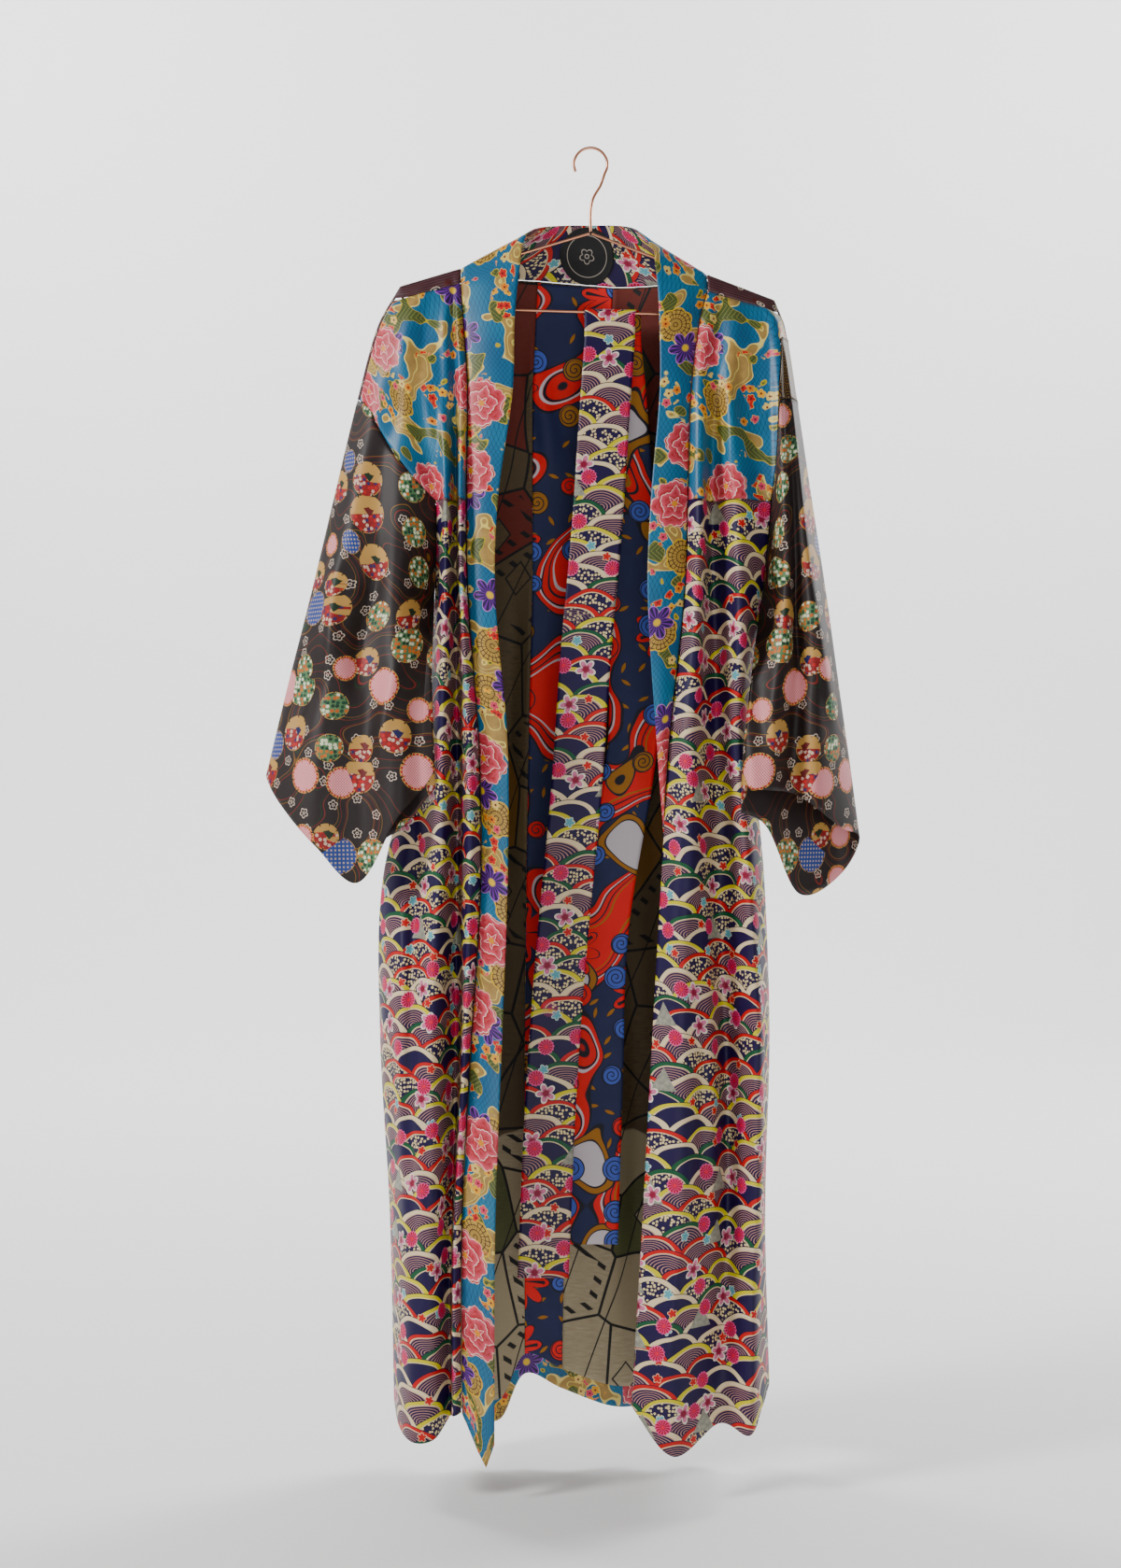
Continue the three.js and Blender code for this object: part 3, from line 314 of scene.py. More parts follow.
def ramp(values, u):
    """Straight steps between the entries of values."""
    return float(np.interp(u, np.arange(len(values)), values))


class Drape:
    """A draped surface: u counts fold lines, z is the height."""

    def __init__(self, rows, levels):
        self.rows = rows
        self.count = len(rows) - 1
        self.lines = [self.fold_line(row, levels) for row in rows]

    @staticmethod
    def fold_line(row, levels):
        """A fold line's top, and its heights with x and y at each of them."""
        top = NECK_TOPS.get(row["fold"], float(wire_height(row["across"][0])))
        heights = [top, *levels] + ([row["hem"]] if "hem" in row else [])
        across, depth = list(row["across"]), list(row["depth"])
        if row.get("turns"):
            k = heights.index(ARMPIT)
            share = TURN / (heights[k] - heights[k + 1])
            for values in (across, depth):
                values.insert(k + 1, values[k] + (values[k + 1] - values[k]) * share)
            heights.insert(k + 1, ARMPIT - TURN)
        return top, heights, across, depth

    def top(self, u):
        return blend([line[0] for line in self.lines], u)

    def column(self, name, u):
        """A value of the fold lines at u, curved from line to line."""
        return blend([row[name] for row in self.rows], u)

    def edge(self, name, u):
        """A value of the fold lines at u, straight from line to line."""
        return ramp([row[name] for row in self.rows], u)

    def at(self, u, z):
        """The surface's points at u and the heights z."""
        i = min(max(math.floor(u), 0), self.count - 1)
        first, end = max(i - 1, 0), min(i + 2, self.count)
        near = self.lines[first:end + 1]
        x = blend([track(line[1], line[2], z) for line in near], u - first)
        y = blend([track(line[1], line[3], z) for line in near], u - first)
        return np.stack([x, y, np.broadcast_to(z, np.shape(x))], axis=-1)


def crease_depth(creases, x, z):
    """How far the creases move the points (x, z) towards the viewer of that side."""
    total = np.zeros_like(x)
    for x0, z0, x1, z1, width, depth in creases:
        length = math.hypot(x1 - x0, z1 - z0)
        along_x, along_z = (x1 - x0) / length, (z1 - z0) / length
        t = ((x - x0) * along_x + (z - z0) * along_z) / length
        off = (x - x0) * -along_z + (z - z0) * along_x
        wander = width * WANDER * np.sin(t * WANDER_WAVES + x0 * WANDER_SHIFT)
        taper = np.clip(TAPER - np.abs(2 * t - 1) * TAPER, 0, 1)
        total += depth * np.exp(-((off + wander) / width) ** 2) * taper * taper * (3 - 2 * taper)
    return total


def crease(points, ahead, calm=1.0):
    """Lays the creases into a grid of points: ahead is 1 on the front and -1 on the back."""
    x, z = points[..., 0], points[..., 2]
    moved = points.copy()
    moved[..., 1] -= crease_depth(FRONT_CREASES, x, z) * np.maximum(ahead, 0) * calm
    moved[..., 1] += crease_depth(BACK_CREASES, x, z) * np.maximum(-ahead, 0) * calm
    return moved


def calm_sides(grid, both):
    """A share that falls to nothing at the side seams, where the front meets the back."""
    across = lengths(grid, 0)
    share = np.clip((across[-1:] - across) / SIDE_CALM, 0, 1)
    return share * np.clip(across / SIDE_CALM, 0, 1) if both else share


def spread(start, stop, steps):
    """Even steps from start to stop, with both ends."""
    return [start + (stop - start) * k / steps for k in range(steps + 1)]


def stations_for(surface, lines, z_of):
    """Places on u about one step apart across the cloth, with every fold line among them."""
    out = [lines[0]]
    for a, b in zip(lines, lines[1:]):
        wide = 0
        for z in z_of:
            fine = surface_row(surface, np.linspace(a, b, MEASURE_POINTS), z)
            wide = max(wide, np.linalg.norm(np.diff(fine, axis=0), axis=1).sum())
        steps = max(2, round(wide / ACROSS_STEP))
        out += [a + (b - a) * (k + 1) / steps for k in range(steps)]
    return out


def surface_row(surface, places, z):
    """The surface's points at one height."""
    return np.array([surface.at(u, np.array([float(z)]))[0] for u in places])


def stretch(surface, stations, top_of, bottom_of, rows):
    """Grid [u][row][xyz] of a draped surface between two heights that may change along u."""
    share = np.linspace(0, 1, rows + 1)
    return np.array([surface.at(u, top_of(u) + (bottom_of(u) - top_of(u)) * share) for u in stations])


def normals_of(grid):
    """Unit normals at every point of a grid."""
    along_u = np.gradient(grid, axis=0)
    along_v = np.gradient(grid, axis=1)
    normal = np.cross(along_u, along_v)
    return normal / np.maximum(np.linalg.norm(normal, axis=-1, keepdims=True), 1e-9)


def lengths(grid, axis):
    """Distances in millimetres along the cloth in one direction, at every point."""
    steps = np.linalg.norm(np.diff(grid, axis=axis), axis=-1)
    return np.insert(np.cumsum(steps, axis=axis), 0, 0, axis=axis)


def hanging_grain(grid):
    """Places on the cloth of a hanging piece, with its grain upright."""
    return np.stack([lengths(grid[..., :2], 0), grid[..., 2]], axis=-1)


def sleeve_grain(grid, places):
    """Places on a sleeve's cloth, measured from the armhole on the front and again on the back."""
    uv = hanging_grain(grid)
    turn = int(np.searchsorted(places, OUTER_FOLD))
    across = uv[..., 0].copy()
    front, whole = across[turn], across[-1]
    uv[turn:, :, 0] = (whole - across[turn:]) * front / (whole - front)
    return uv


def strip_grain(grid):
    """Places on the cloth of a piece whose length runs along its first direction."""
    across = lengths(grid, 1)
    middle = lengths(grid, 0)[:, grid.shape[1] // 2][:, None]
    return np.stack([across, np.broadcast_to(middle, across.shape)], axis=-1)


def tuck(grid, normals, sides, reach=3.0, depth=0.7):
    """Sinks the edges named in sides a little, as a seam does."""
    across, down = lengths(grid, 0), lengths(grid, 1)
    away = {"left": across, "right": across[-1:] - across, "top": down, "bottom": down[:, -1:] - down}
    sink = np.zeros(grid.shape[:2])
    for side in sides:
        sink = np.maximum(sink, depth * np.exp(-(away[side] / reach) ** 2))
    return grid - normals * sink[..., None]


def placed(name, data):
    """A new object of the scene."""
    made = bpy.data.objects.new(name, data)
    bpy.context.collection.objects.link(made)
    return made


def shell(name, grid, outer, inner, normals, thick=CLOTH, shift=0, uv=None):
    """A closed thin shell round a grid of middle points. The outer cloth is on the normal's side."""
    wide, tall = grid.shape[:2]
    points = np.concatenate([(grid + normals * (shift + side * thick / 2)).reshape(-1, 3)
                             for side in (1, -1)]) * MM
    uv = hanging_grain(grid) if uv is None else uv
    coordinates = np.concatenate([uv.reshape(-1, 2)] * 2) * MM
    index = np.arange(wide * tall).reshape(wide, tall)
    far = index + wide * tall
    a, b, c, d = index[:-1, :-1], index[1:, :-1], index[1:, 1:], index[:-1, 1:]
    front = np.stack([a, b, c, d], axis=-1).reshape(-1, 4)
    behind = np.stack([a, d, c, b], axis=-1).reshape(-1, 4) + wide * tall
    rims = []
    for line, other in ((index[:, 0], far[:, 0]), (index[::-1, -1], far[::-1, -1]),
                        (index[0, ::-1], far[0, ::-1]), (index[-1, :], far[-1, :])):
        rims.append(np.stack([line[:-1], other[:-1], other[1:], line[1:]], axis=-1))
    rim = np.concatenate(rims)
    faces = np.concatenate([front, behind, rim])
    mesh = bpy.data.meshes.new(name)
    mesh.from_pydata(points.tolist(), [], faces.tolist())
    for material in (outer, inner, outer):
        mesh.materials.append(material)
    slots = np.concatenate([np.zeros(len(front)), np.ones(len(behind)), np.full(len(rim), 2)])
    mesh.polygons.foreach_set("material_index", slots.astype(int))
    layer = mesh.uv_layers.new(name="Cloth")
    layer.data.foreach_set("uv", coordinates[faces.reshape(-1)].reshape(-1))
    mesh.polygons.foreach_set("use_smooth", np.concatenate(
        [np.ones(len(front) + len(behind)), np.zeros(len(rim))]).astype(bool))
    mesh.update()
    piece = placed(name, mesh)
    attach(piece, "root")
    return piece


class Num:
    """A number that a cloth's shader works out at every point."""

    def __init__(self, ink, socket):
        self.ink, self.socket = ink, socket

    def __add__(self, other):
        return self.ink.op("ADD", self, other)

    def __sub__(self, other):
        return self.ink.op("SUBTRACT", self, other)

    def __mul__(self, other):
        return self.ink.op("MULTIPLY", self, other)

    def __truediv__(self, other):
        return self.ink.op("DIVIDE", self, other)

    __radd__ = __add__
    __rmul__ = __mul__


class Spot:
    """A point's place inside the scattered cell that it belongs to, in millimetres."""

    def __init__(self, dx, dy, picks):
        self.dx, self.dy, self.picks, self.ink = dx, dy, picks, dx.ink
        self.r = self.ink.op("SQRT", dx * dx + dy * dy)
        self.angle = self.ink.op("ARCTAN2", dy, dx) + picks[2] * math.tau

    def some(self, share, blur=0.001):
        """1 on a share of the spots."""
        return self.ink.below(self.picks[0], share, blur)


# Cloth colours: gamma of the codes with its deepening, then how much purer they get.
GAMMA = 2.2 * 2.15
SATURATE = 1.25
THREAD_SHADE = (0.01, 0.01, 0.012, 1)
CREPE_RISE = 0.0006


def tint(code):
    """A colour code as linear values, a little deeper and purer than on a screen."""
    parts = [(int(code[k:k + 2], 16) / 255) ** GAMMA for k in (0, 2, 4)]
    grey = 0.2 * parts[0] + 0.7 * parts[1] + 0.1 * parts[2]
    return (*[max(grey + (c - grey) * SATURATE, 0.0) for c in parts], 1.0)


def skinned(name, values):
    """A material and its surface node, with the given inputs set."""
    material = bpy.data.materials.new(name)
    material.use_nodes = True
    skin = material.node_tree.nodes["Principled BSDF"]
    for key, value in values.items():
        skin.inputs[key].default_value = value
    return material, skin


def plain(name, colour, roughness, metallic=0.0):
    """A material of one colour."""
    return skinned(name, {"Base Color": colour, "Roughness": roughness, "Metallic": metallic})[0]


class Ink:
    """The shader of one cloth. x and y run across and up the cloth in millimetres."""

    def __init__(self, name, roughness, sheen=0.03, gloss=0.4):
        self.material, self.skin = skinned(name, {
            "Roughness": roughness, "Sheen Weight": sheen, "Specular IOR Level": gloss})
        self.tree = self.material.node_tree
        parts = self.node("SeparateXYZ")
        self.feed(parts.inputs[0], self.node("UVMap", uv_map="Cloth").outputs[0])
        self.x = Num(self, parts.outputs[0]) * 1000
        self.y = Num(self, parts.outputs[1]) * 1000

    def node(self, kind, **settings):
        made = self.tree.nodes.new("ShaderNode" + kind)
        for key, value in settings.items():
            setattr(made, key, value)
        return made

    def feed(self, socket, value):
        """Gives a socket a number, a colour, a colour code or the outcome of another node."""
        if isinstance(value, str):
            value = tint(value)
        if isinstance(value, Num):
            value = value.socket
        if isinstance(value, bpy.types.NodeSocket):
            self.tree.links.new(value, socket)
        else:
            socket.default_value = value

    def op(self, kind, *values, clamp=False):
        made = self.node("Math", operation=kind, use_clamp=clamp)
        for socket, value in zip(made.inputs, values):
            self.feed(socket, value)
        return Num(self, made.outputs[0])

    def sin(self, value):
        return self.op("SINE", value)

    def floor(self, value):
        return self.op("FLOOR", value)

    def frac(self, value):
        return self.op("FRACT", value)

    def size(self, value):
        return self.op("ABSOLUTE", value)

    def above(self, value, edge, blur=0.3):
        """1 where the value is over the edge, 0 where it is under."""
        return self.op("ADD", (value - edge) / blur, 0.5, clamp=True)

    def below(self, value, edge, blur=0.3):
        return self.above(edge - value if isinstance(edge, Num) else value * -1 + edge, 0, blur)

    def near(self, value, edge, reach, blur=0.3):
        """1 within reach of the edge."""
        return self.below(self.size(value - edge), reach, blur)

    def mix(self, share, under, over):
        made = self.node("Mix", data_type="RGBA")
        for place, value in ((0, share), (6, under), (7, over)):
            self.feed(made.inputs[place], value)
        return made.outputs[2]

    def lay(self, share, over):
        """Lays a colour over what is there."""
        self.colour = self.mix(share, self.colour, over)

    def pick(self, value, codes):
        """One of the colours, by a value from 0 to 1."""
        made = self.node("ValToRGB")
        made.color_ramp.interpolation = "CONSTANT"
        stops = made.color_ramp.elements
        while len(stops) < len(codes):
            stops.new(0.5)
        for k in range(len(codes)):
            stops[k].position = k / len(codes)
        for stop, code in zip(stops, codes):
            stop.color = tint(code)
        self.feed(made.inputs[0], value)
        return made.outputs[0]

    def point(self, x, y, z=0.0):
        made = self.node("CombineXYZ")
        for socket, value in zip(made.inputs, (x, y, z)):
            self.feed(socket, value)
        return made.outputs[0]

    def channels(self, colour):
        parts = self.node("SeparateColor")
        self.feed(parts.inputs[0], colour)
        return [Num(self, parts.outputs[k]) for k in range(3)]

    def random(self, x, y, seed=0.0):
        made = self.node("TexWhiteNoise", noise_dimensions="3D")
        self.feed(made.inputs[0], self.point(x, y, seed))
        return self.channels(made.outputs["Color"])

    def noise(self, size, detail=1.0, seed=0.0, x=None, y=None):
        x, y = x or self.x, y or self.y
        made = self.node("TexNoise", noise_dimensions="3D")
        self.feed(made.inputs["Vector"], self.point(x / size, y / size, seed))
        made.inputs["Scale"].default_value = 1
        made.inputs["Detail"].default_value = detail
        return Num(self, made.outputs[0])

    def voronoi(self, size, jitter, seed):
        """A node of cells about one size apart, and the place that it is fed."""
        made = self.node("TexVoronoi", voronoi_dimensions="2D")
        px, py = self.x / size + seed, self.y / size + seed * 0.7
        self.feed(made.inputs["Vector"], self.point(px, py))
        made.inputs["Scale"].default_value = 1
        made.inputs["Randomness"].default_value = jitter
        return made, px, py

    def cells(self, size, jitter, seed):
        """Scattered places about one size apart."""
        made, px, py = self.voronoi(size, jitter, seed)
        parts = self.node("SeparateXYZ")
        self.feed(parts.inputs[0], made.outputs["Position"])
        dx = (px - Num(self, parts.outputs[0])) * size
        dy = (py - Num(self, parts.outputs[1])) * size
        return Spot(dx, dy, self.channels(made.outputs["Color"]))

    def petals(self, spot, count, radius, notch):
        """Outline radius of a flower with so many petals at this angle."""
        return (self.size(self.sin(spot.angle * (count / 2))) * notch + (1 - notch)) * radius

    def rimmed(self, edge, there, rim, rim_wide, colour):
        """Lays a shape and its rim over what is there. Edge is the distance to the outline."""
        for inside, paint in ((0, rim), (rim_wide, colour)):
            self.lay(self.above(edge, inside, 0.3) * there, paint)

    def blossom(self, spot, colour, count, radius, notch, share, rim, rim_wide):
        """Lays a flat flower with an outline over what is there, on a share of the spots."""
        edge = self.petals(spot, count, radius, notch) - spot.r
        self.rimmed(edge, spot.some(share), rim, rim_wide, colour)

    def hills(self, x, y, wide, step, shift):
        """The three rows of hills that can cover a point: distance from the middle, column and row."""
        base = self.floor(y / step)
        for over in (1.0, 0.0, -1.0):
            row = base + over
            across = x - shift(row)
            column = self.floor(across / wide + 0.5)
            dx, dy = across - column * wide, y - row * step
            yield self.op("SQRT", dx * dx + dy * dy), column, row

    def finish(self, grain=0.5, bump=0.12):
        """Adds the thread's fine grain and joins the colour to the cloth."""
        thread = self.noise(0.9, 2.0, 3.0)
        shaded = self.mix(self.op("MULTIPLY", thread, grain, clamp=True), self.colour, THREAD_SHADE)
        self.feed(self.skin.inputs["Base Color"], shaded)
        rise = self.node("Bump")
        crepe = self.noise(2.2, 3.0, 9.0)
        for key, value in (("Strength", bump), ("Distance", CREPE_RISE), ("Height", crepe)):
            self.feed(rise.inputs[key], value)
        self.feed(self.skin.inputs["Normal"], rise.outputs[0])
        return self.material


def wave_cloth():
    """Overlapping hills with coloured rims, some flowers and snowy peaks over them."""
    ink = Ink("wave_silk", 0.5, 0.0, 0.25)
    wide, step, radius, flat = 60.0, 22.0, 34.0, 1.5
    x = ink.x + (ink.noise(70, 1, 1.0) - 0.5) * 20
    y = (ink.y + (ink.noise(60, 1, 5.0) - 0.5) * 12) * flat
    dots = ink.cells(3.8, 0.75, 3.1)
    dot = ink.below(dots.r, ink.petals(dots, 5, 1.5, 0.35), 0.5) * dots.some(0.72, 0.01)
    purple, cream, tan = "5a3c80", "f6ecd2", "d2bab4"
    dotted = ink.mix(dot, purple, cream)
    ink.colour = purple
    for r, column, row in ink.hills(x, y, wide, step, lambda row: ink.frac(row * 0.382) * wide):
        pick = ink.random(column, row)
        lines = ink.above(ink.sin(r * (math.tau / 3.5)), 0.5, 0.5)
        striped = ink.mix(lines, purple, tan)
        fill = ink.mix(ink.above(pick[1], 0.4, 0.001), striped, dotted)
        fill = ink.mix(ink.above(pick[1], 0.68, 0.001), fill, purple)
        rim = ink.pick(pick[0], ["e6e050", "d8603a", "f0e6d4", "35957c", "e8e25a", "d8603a", "f0e6d4"])
        for inset, code in ((8.0, "efe6d2"), (6.6, rim), (1.2, "4e3470")):
            fill = ink.mix(ink.above(r, radius - inset, 0.35), fill, code)
        ink.lay(ink.below(r, radius, 0.4), fill)
    peak = ink.cells(84, 0.7, 7.3)
    slope = peak.dy * -0.62 + 11.5 - ink.size(peak.dx)
    rise = ink.above(slope, 0, 0.6) * ink.above(peak.dy, -7, 0.6) * peak.some(0.45, 0.01)
    snow = ink.mix(ink.noise(5, 2, x=peak.dx, y=peak.dy), "8a8c8c", "dddcd2")
    ink.lay(rise, snow)
    ink.blossom(ink.cells(47, 0.7, 11.7), "a9ccd2", 5, 6.2, 0.4, 0.45, "e6efe9", 1.0)
    cherry = ink.cells(58, 0.7, 17.9)
    inner = ink.mix(ink.above(cherry.r, 4.5, 3), "b8447c", "e2b4c6")
    ink.blossom(cherry, inner, 5, 12, 0.55, 0.6, "f4efe8", 2.0)
    ink.blossom(ink.cells(43, 0.7, 23.3), "d9492f", 5, 5.6, 0.4, 0.42, "efd9c8", 0.9)
    mum = ink.cells(52, 0.7, 29.1)
    ray = ink.above(ink.sin(mum.angle * 13), 0.5, 0.5)
    rays = ink.mix(ray * ink.above(mum.r, 2.5, 1.0), "c92a79", "ec8fb9")
    ink.blossom(mum, rays, 14, 9.2, 0.14, 0.72, "f0a6c8", 0.9)
    ink.lay(ink.below(mum.r, 2.1, 0.4) * mum.some(0.72, 0.01), "e8508f")
    return ink.finish(0.35)


def floral_cloth():
    """Teal satin with gold clouds, olive leaves, plum clusters, irises and large peonies."""
    ink = Ink("floral_satin", 0.44)
    deep = ink.noise(60, 1, 2.0)
    sky = ink.mix(deep, "1f8cac", "35b6ca")
    bent = ink.sin(ink.y / 19) * 5
    net_a = ink.frac((ink.x + ink.y * 0.55 + bent) / 5.2)
    net_b = ink.frac((ink.x - ink.y * 0.55 - bent) / 5.2)
    net = ink.near(net_a, 0.5, 0.055, 0.05) + ink.near(net_b, 0.5, 0.055, 0.05)
    ink.colour = ink.mix(net * 0.55, sky, "0c4f7c")
    cloud = ink.noise(42, 1.0, 12.0)
    gold = ink.mix(ink.noise(12, 2), "b3a084", "ddcba6")
    curl = ink.near(ink.frac(cloud * 15), 0.5, 0.07, 0.05)
    gold = ink.mix(curl, gold, "f0e6b8")
    leaf = ink.noise(26, 0.6, 31.0)
    slant = ink.size(ink.frac(ink.y / 30) - 0.5) * 26
    vein = ink.near(ink.frac((ink.x * 0.8 + slant) / 4.5), 0.5, 0.07, 0.05)
    green = ink.mix(vein, "8f9674", "bfc09a")
    for field, start, paint, line in ((cloud, 0.57, gold, "f1e7bd"), (leaf, 0.63, green, "d9cf8a")):
        ink.lay(ink.above(field, start, 0.01), paint)
        ink.lay(ink.near(field, start, 0.008, 0.006), line)
    shell_spot = ink.cells(92, 0.7, 41.0)
    rib = ink.near(ink.frac(shell_spot.angle * 3.2), 0.5, 0.1, 0.1)
    ring = ink.near(ink.frac(shell_spot.r / 5.0), 0.5, 0.1, 0.08)
    fan = ink.mix(ink.op("MAXIMUM", rib, ring), "d6c49a", "7d4a45")
    ink.blossom(shell_spot, fan, 7, 21, 0.12, 0.6, "e8d48f", 1.6)
    crowd = ink.above(ink.noise(38, 0.5, 51.0), 0.57, 0.02)
    plum = ink.cells(12.5, 0.7, 53.0)
    petal = ink.pick(plum.picks[1], ["e9b93c", "dd5f5a", "e58fa4", "efe0b8", "e0614f", "f0cf6a"])
    petal = ink.mix(ink.below(plum.r, 1.3, 0.4), petal, "a43a3a")
    ink.rimmed(ink.petals(plum, 5, 5.6, 0.3) - plum.r, crowd, "f2e4b0", 0.55, petal)
    iris = ink.cells(96, 0.7, 61.0)
    streak = ink.mix(ink.above(ink.sin(iris.angle * 18), 0.2, 0.6), "5d2580", "a56bc0")
    streak = ink.mix(ink.below(iris.r, 4, 2), streak, "efdc8a")
    ink.blossom(iris, streak, 6, 20, 0.45, 0.6, "d9b5e0", 1.0)
    peony = ink.cells(86, 0.62, 71.0)
    wavy = ink.petals(peony, 7, 27, 0.16) + ink.size(ink.sin(peony.angle * 9)) * 1.8
    place = peony.r / wavy
    tier = ink.floor(place * 2.7)
    turned = ink.size(ink.sin(peony.angle * 2.5 + tier * 1.9))
    layer = ink.frac(place * 2.7 + turned * 0.55)
    flesh = ink.mix(layer, "c83450", "eba2ae")
    flesh = ink.mix(ink.above(layer, 0.9, 0.06), flesh, "fbe9e6")
    flesh = ink.mix(ink.below(peony.r, 3.4, 1.4), flesh, "e9c25a")
    ink.rimmed(wavy - peony.r, peony.some(0.56), "f6d9d0", 0.9, flesh)
    return ink.finish(0.25)


def brown_cloth():
    """Dark brown with notched medallions, outlined plum blossoms and swirling fine lines."""
    ink = Ink("brown_crepe", 0.55)
    ink.colour = ink.mix(ink.noise(30, 2), "4c3029", "62423a")
    swirl = ink.noise(62, 0.3, 4.0)
    rust, moss, straw = "b06a35", "46704a", "b59a5c"
    for level, code in ((0.42, rust), (0.436, moss), (0.452, straw), (0.56, rust), (0.577, moss),
                        (0.345, straw), (0.36, "a85a32"), (0.655, moss), (0.668, rust)):
        ink.lay(ink.near(swirl, level, 0.0028, 0.003), code)
    plum = ink.cells(27, 0.75, 5.5)
    outline = ink.petals(plum, 5, 6.0, 0.32)
    there = plum.some(0.62)
    for line in (ink.near(outline - plum.r, 0.7, 0.55, 0.3), ink.near(plum.r, 1.4, 0.4, 0.3)):
        ink.lay(line * there, "e9e0d8")
    spot = ink.cells(47, 0.72, 13.7)
    radius = spot.picks[1] * 8.5 + 13.5
    notch = ink.above(ink.sin(spot.angle * 8), 0.93, 0.05) * 2.2
    edge = radius - notch - spot.r
    small = ink.cells(4.6, 0.5, 2.2)
    bloom = ink.below(small.r, ink.petals(small, 5, 2.2, 0.3), 0.4)
    hatch = ink.above(ink.sin(ink.x * 2.0) * ink.sin(ink.y * 2.0), 0.05, 0.4)
    pink = ink.mix(hatch, "e9a9b2", "f7dedd")
    pink = ink.mix(ink.below(edge, 2.9, 0.6), pink, "d05560")
    pink = ink.mix(ink.above(ink.sin(spot.angle * 26), 0.2, 0.4) * ink.below(edge, 2.6, 0.6), pink, "e8c9a5")
    checks = ink.above(ink.sin(ink.x * 1.35), 0.1, 0.4) * ink.above(ink.sin(ink.y * 1.35), 0.1, 0.4)
    blue = ink.mix(checks, "6d86bb", "d8cfc9")
    inks = ink.pick(small.picks[1], ["f2f3e4", "4f8a74", "dba23c", "f2f3e4", "3f7a66", "e2b08a"])
    green = ink.mix(bloom, "9db59a", inks)
    reds = ink.pick(small.picks[1], ["e8d9cf", "c23b44", "d9702f", "6f5c96", "e8d9cf", "c23b44"])
    half = ink.mix(bloom, "b83a48", reds)
    cream = "dcc5a0"
    low_half = ink.above(ink.sin(spot.angle * 0.5 + 0.6) * 9 - spot.dy * 1.1 - 3, 0, 0.6)
    mixed = ink.mix(low_half, cream, half)
    blob = ink.size(spot.dx + 3) * 0.8 + ink.size(spot.dy - 4 - ink.sin(spot.dx / 3) * 2)
    accent = ink.pick(spot.picks[2], ["2f6a45", "2c3f8c", "a12f35", "2f6a45"])
    mixed = ink.mix(ink.below(blob, 5.2, 0.5), mixed, accent)
    kind = spot.picks[0]
    fill = pink
    for share, other in ((0.26, blue), (0.42, green), (0.66, mixed)):
        fill = ink.mix(ink.above(kind, share, 0.001), fill, other)
    fill = ink.mix(ink.below(edge, 0.7, 0.3), fill, "d8c29a")
    ink.lay(ink.above(edge, 0, 0.3) * ink.below(kind, 0.93, 0.001), fill)
    return ink.finish(0.35)


def mauve_cloth():
    """Mauve silk with fine stripes and small two-coloured drops."""
    ink = Ink("mauve_silk", 0.5)
    stripe = ink.above(ink.sin(ink.x * 1.9), 0.35, 0.5)
    ink.colour = ink.mix(stripe, "7b545c", "9a7a7d")
    ink.lay(ink.above(ink.noise(40, 1), 0.58, 0.04), "8d5148")
    drop = ink.cells(21, 0.55, 8.1)
    shape = drop.r - ink.sin(drop.angle) * 1.1
    there = drop.some(0.6)
    for size, blur, code in ((3.6, 0.4, "efe6dc"), (2.7, 0.4, "241a22"), (1.0, 0.3, "efe6dc")):
        ink.lay(ink.below(shape, size, blur) * there, code)
    return ink.finish(0.4)


def black_cloth():
    """Black with small gold wave scales."""
    ink = Ink("black_silk", 0.5)
    wide, step, radius = 19.0, 9.5, 9.7
    ink.colour = "141215"
    for r, _, _ in ink.hills(ink.x, ink.y, wide, step,
                             lambda row: ink.op("FLOORED_MODULO", row, 2.0) * (wide / 2)):
        rings = ink.above(ink.sin(r * (math.tau / 3.1) + 0.6), 0.3, 0.5)
        scale = ink.mix(rings, "2a2628", "b39a68")
        ink.lay(ink.below(r, radius, 0.3), scale)
    return ink.finish(0.3)


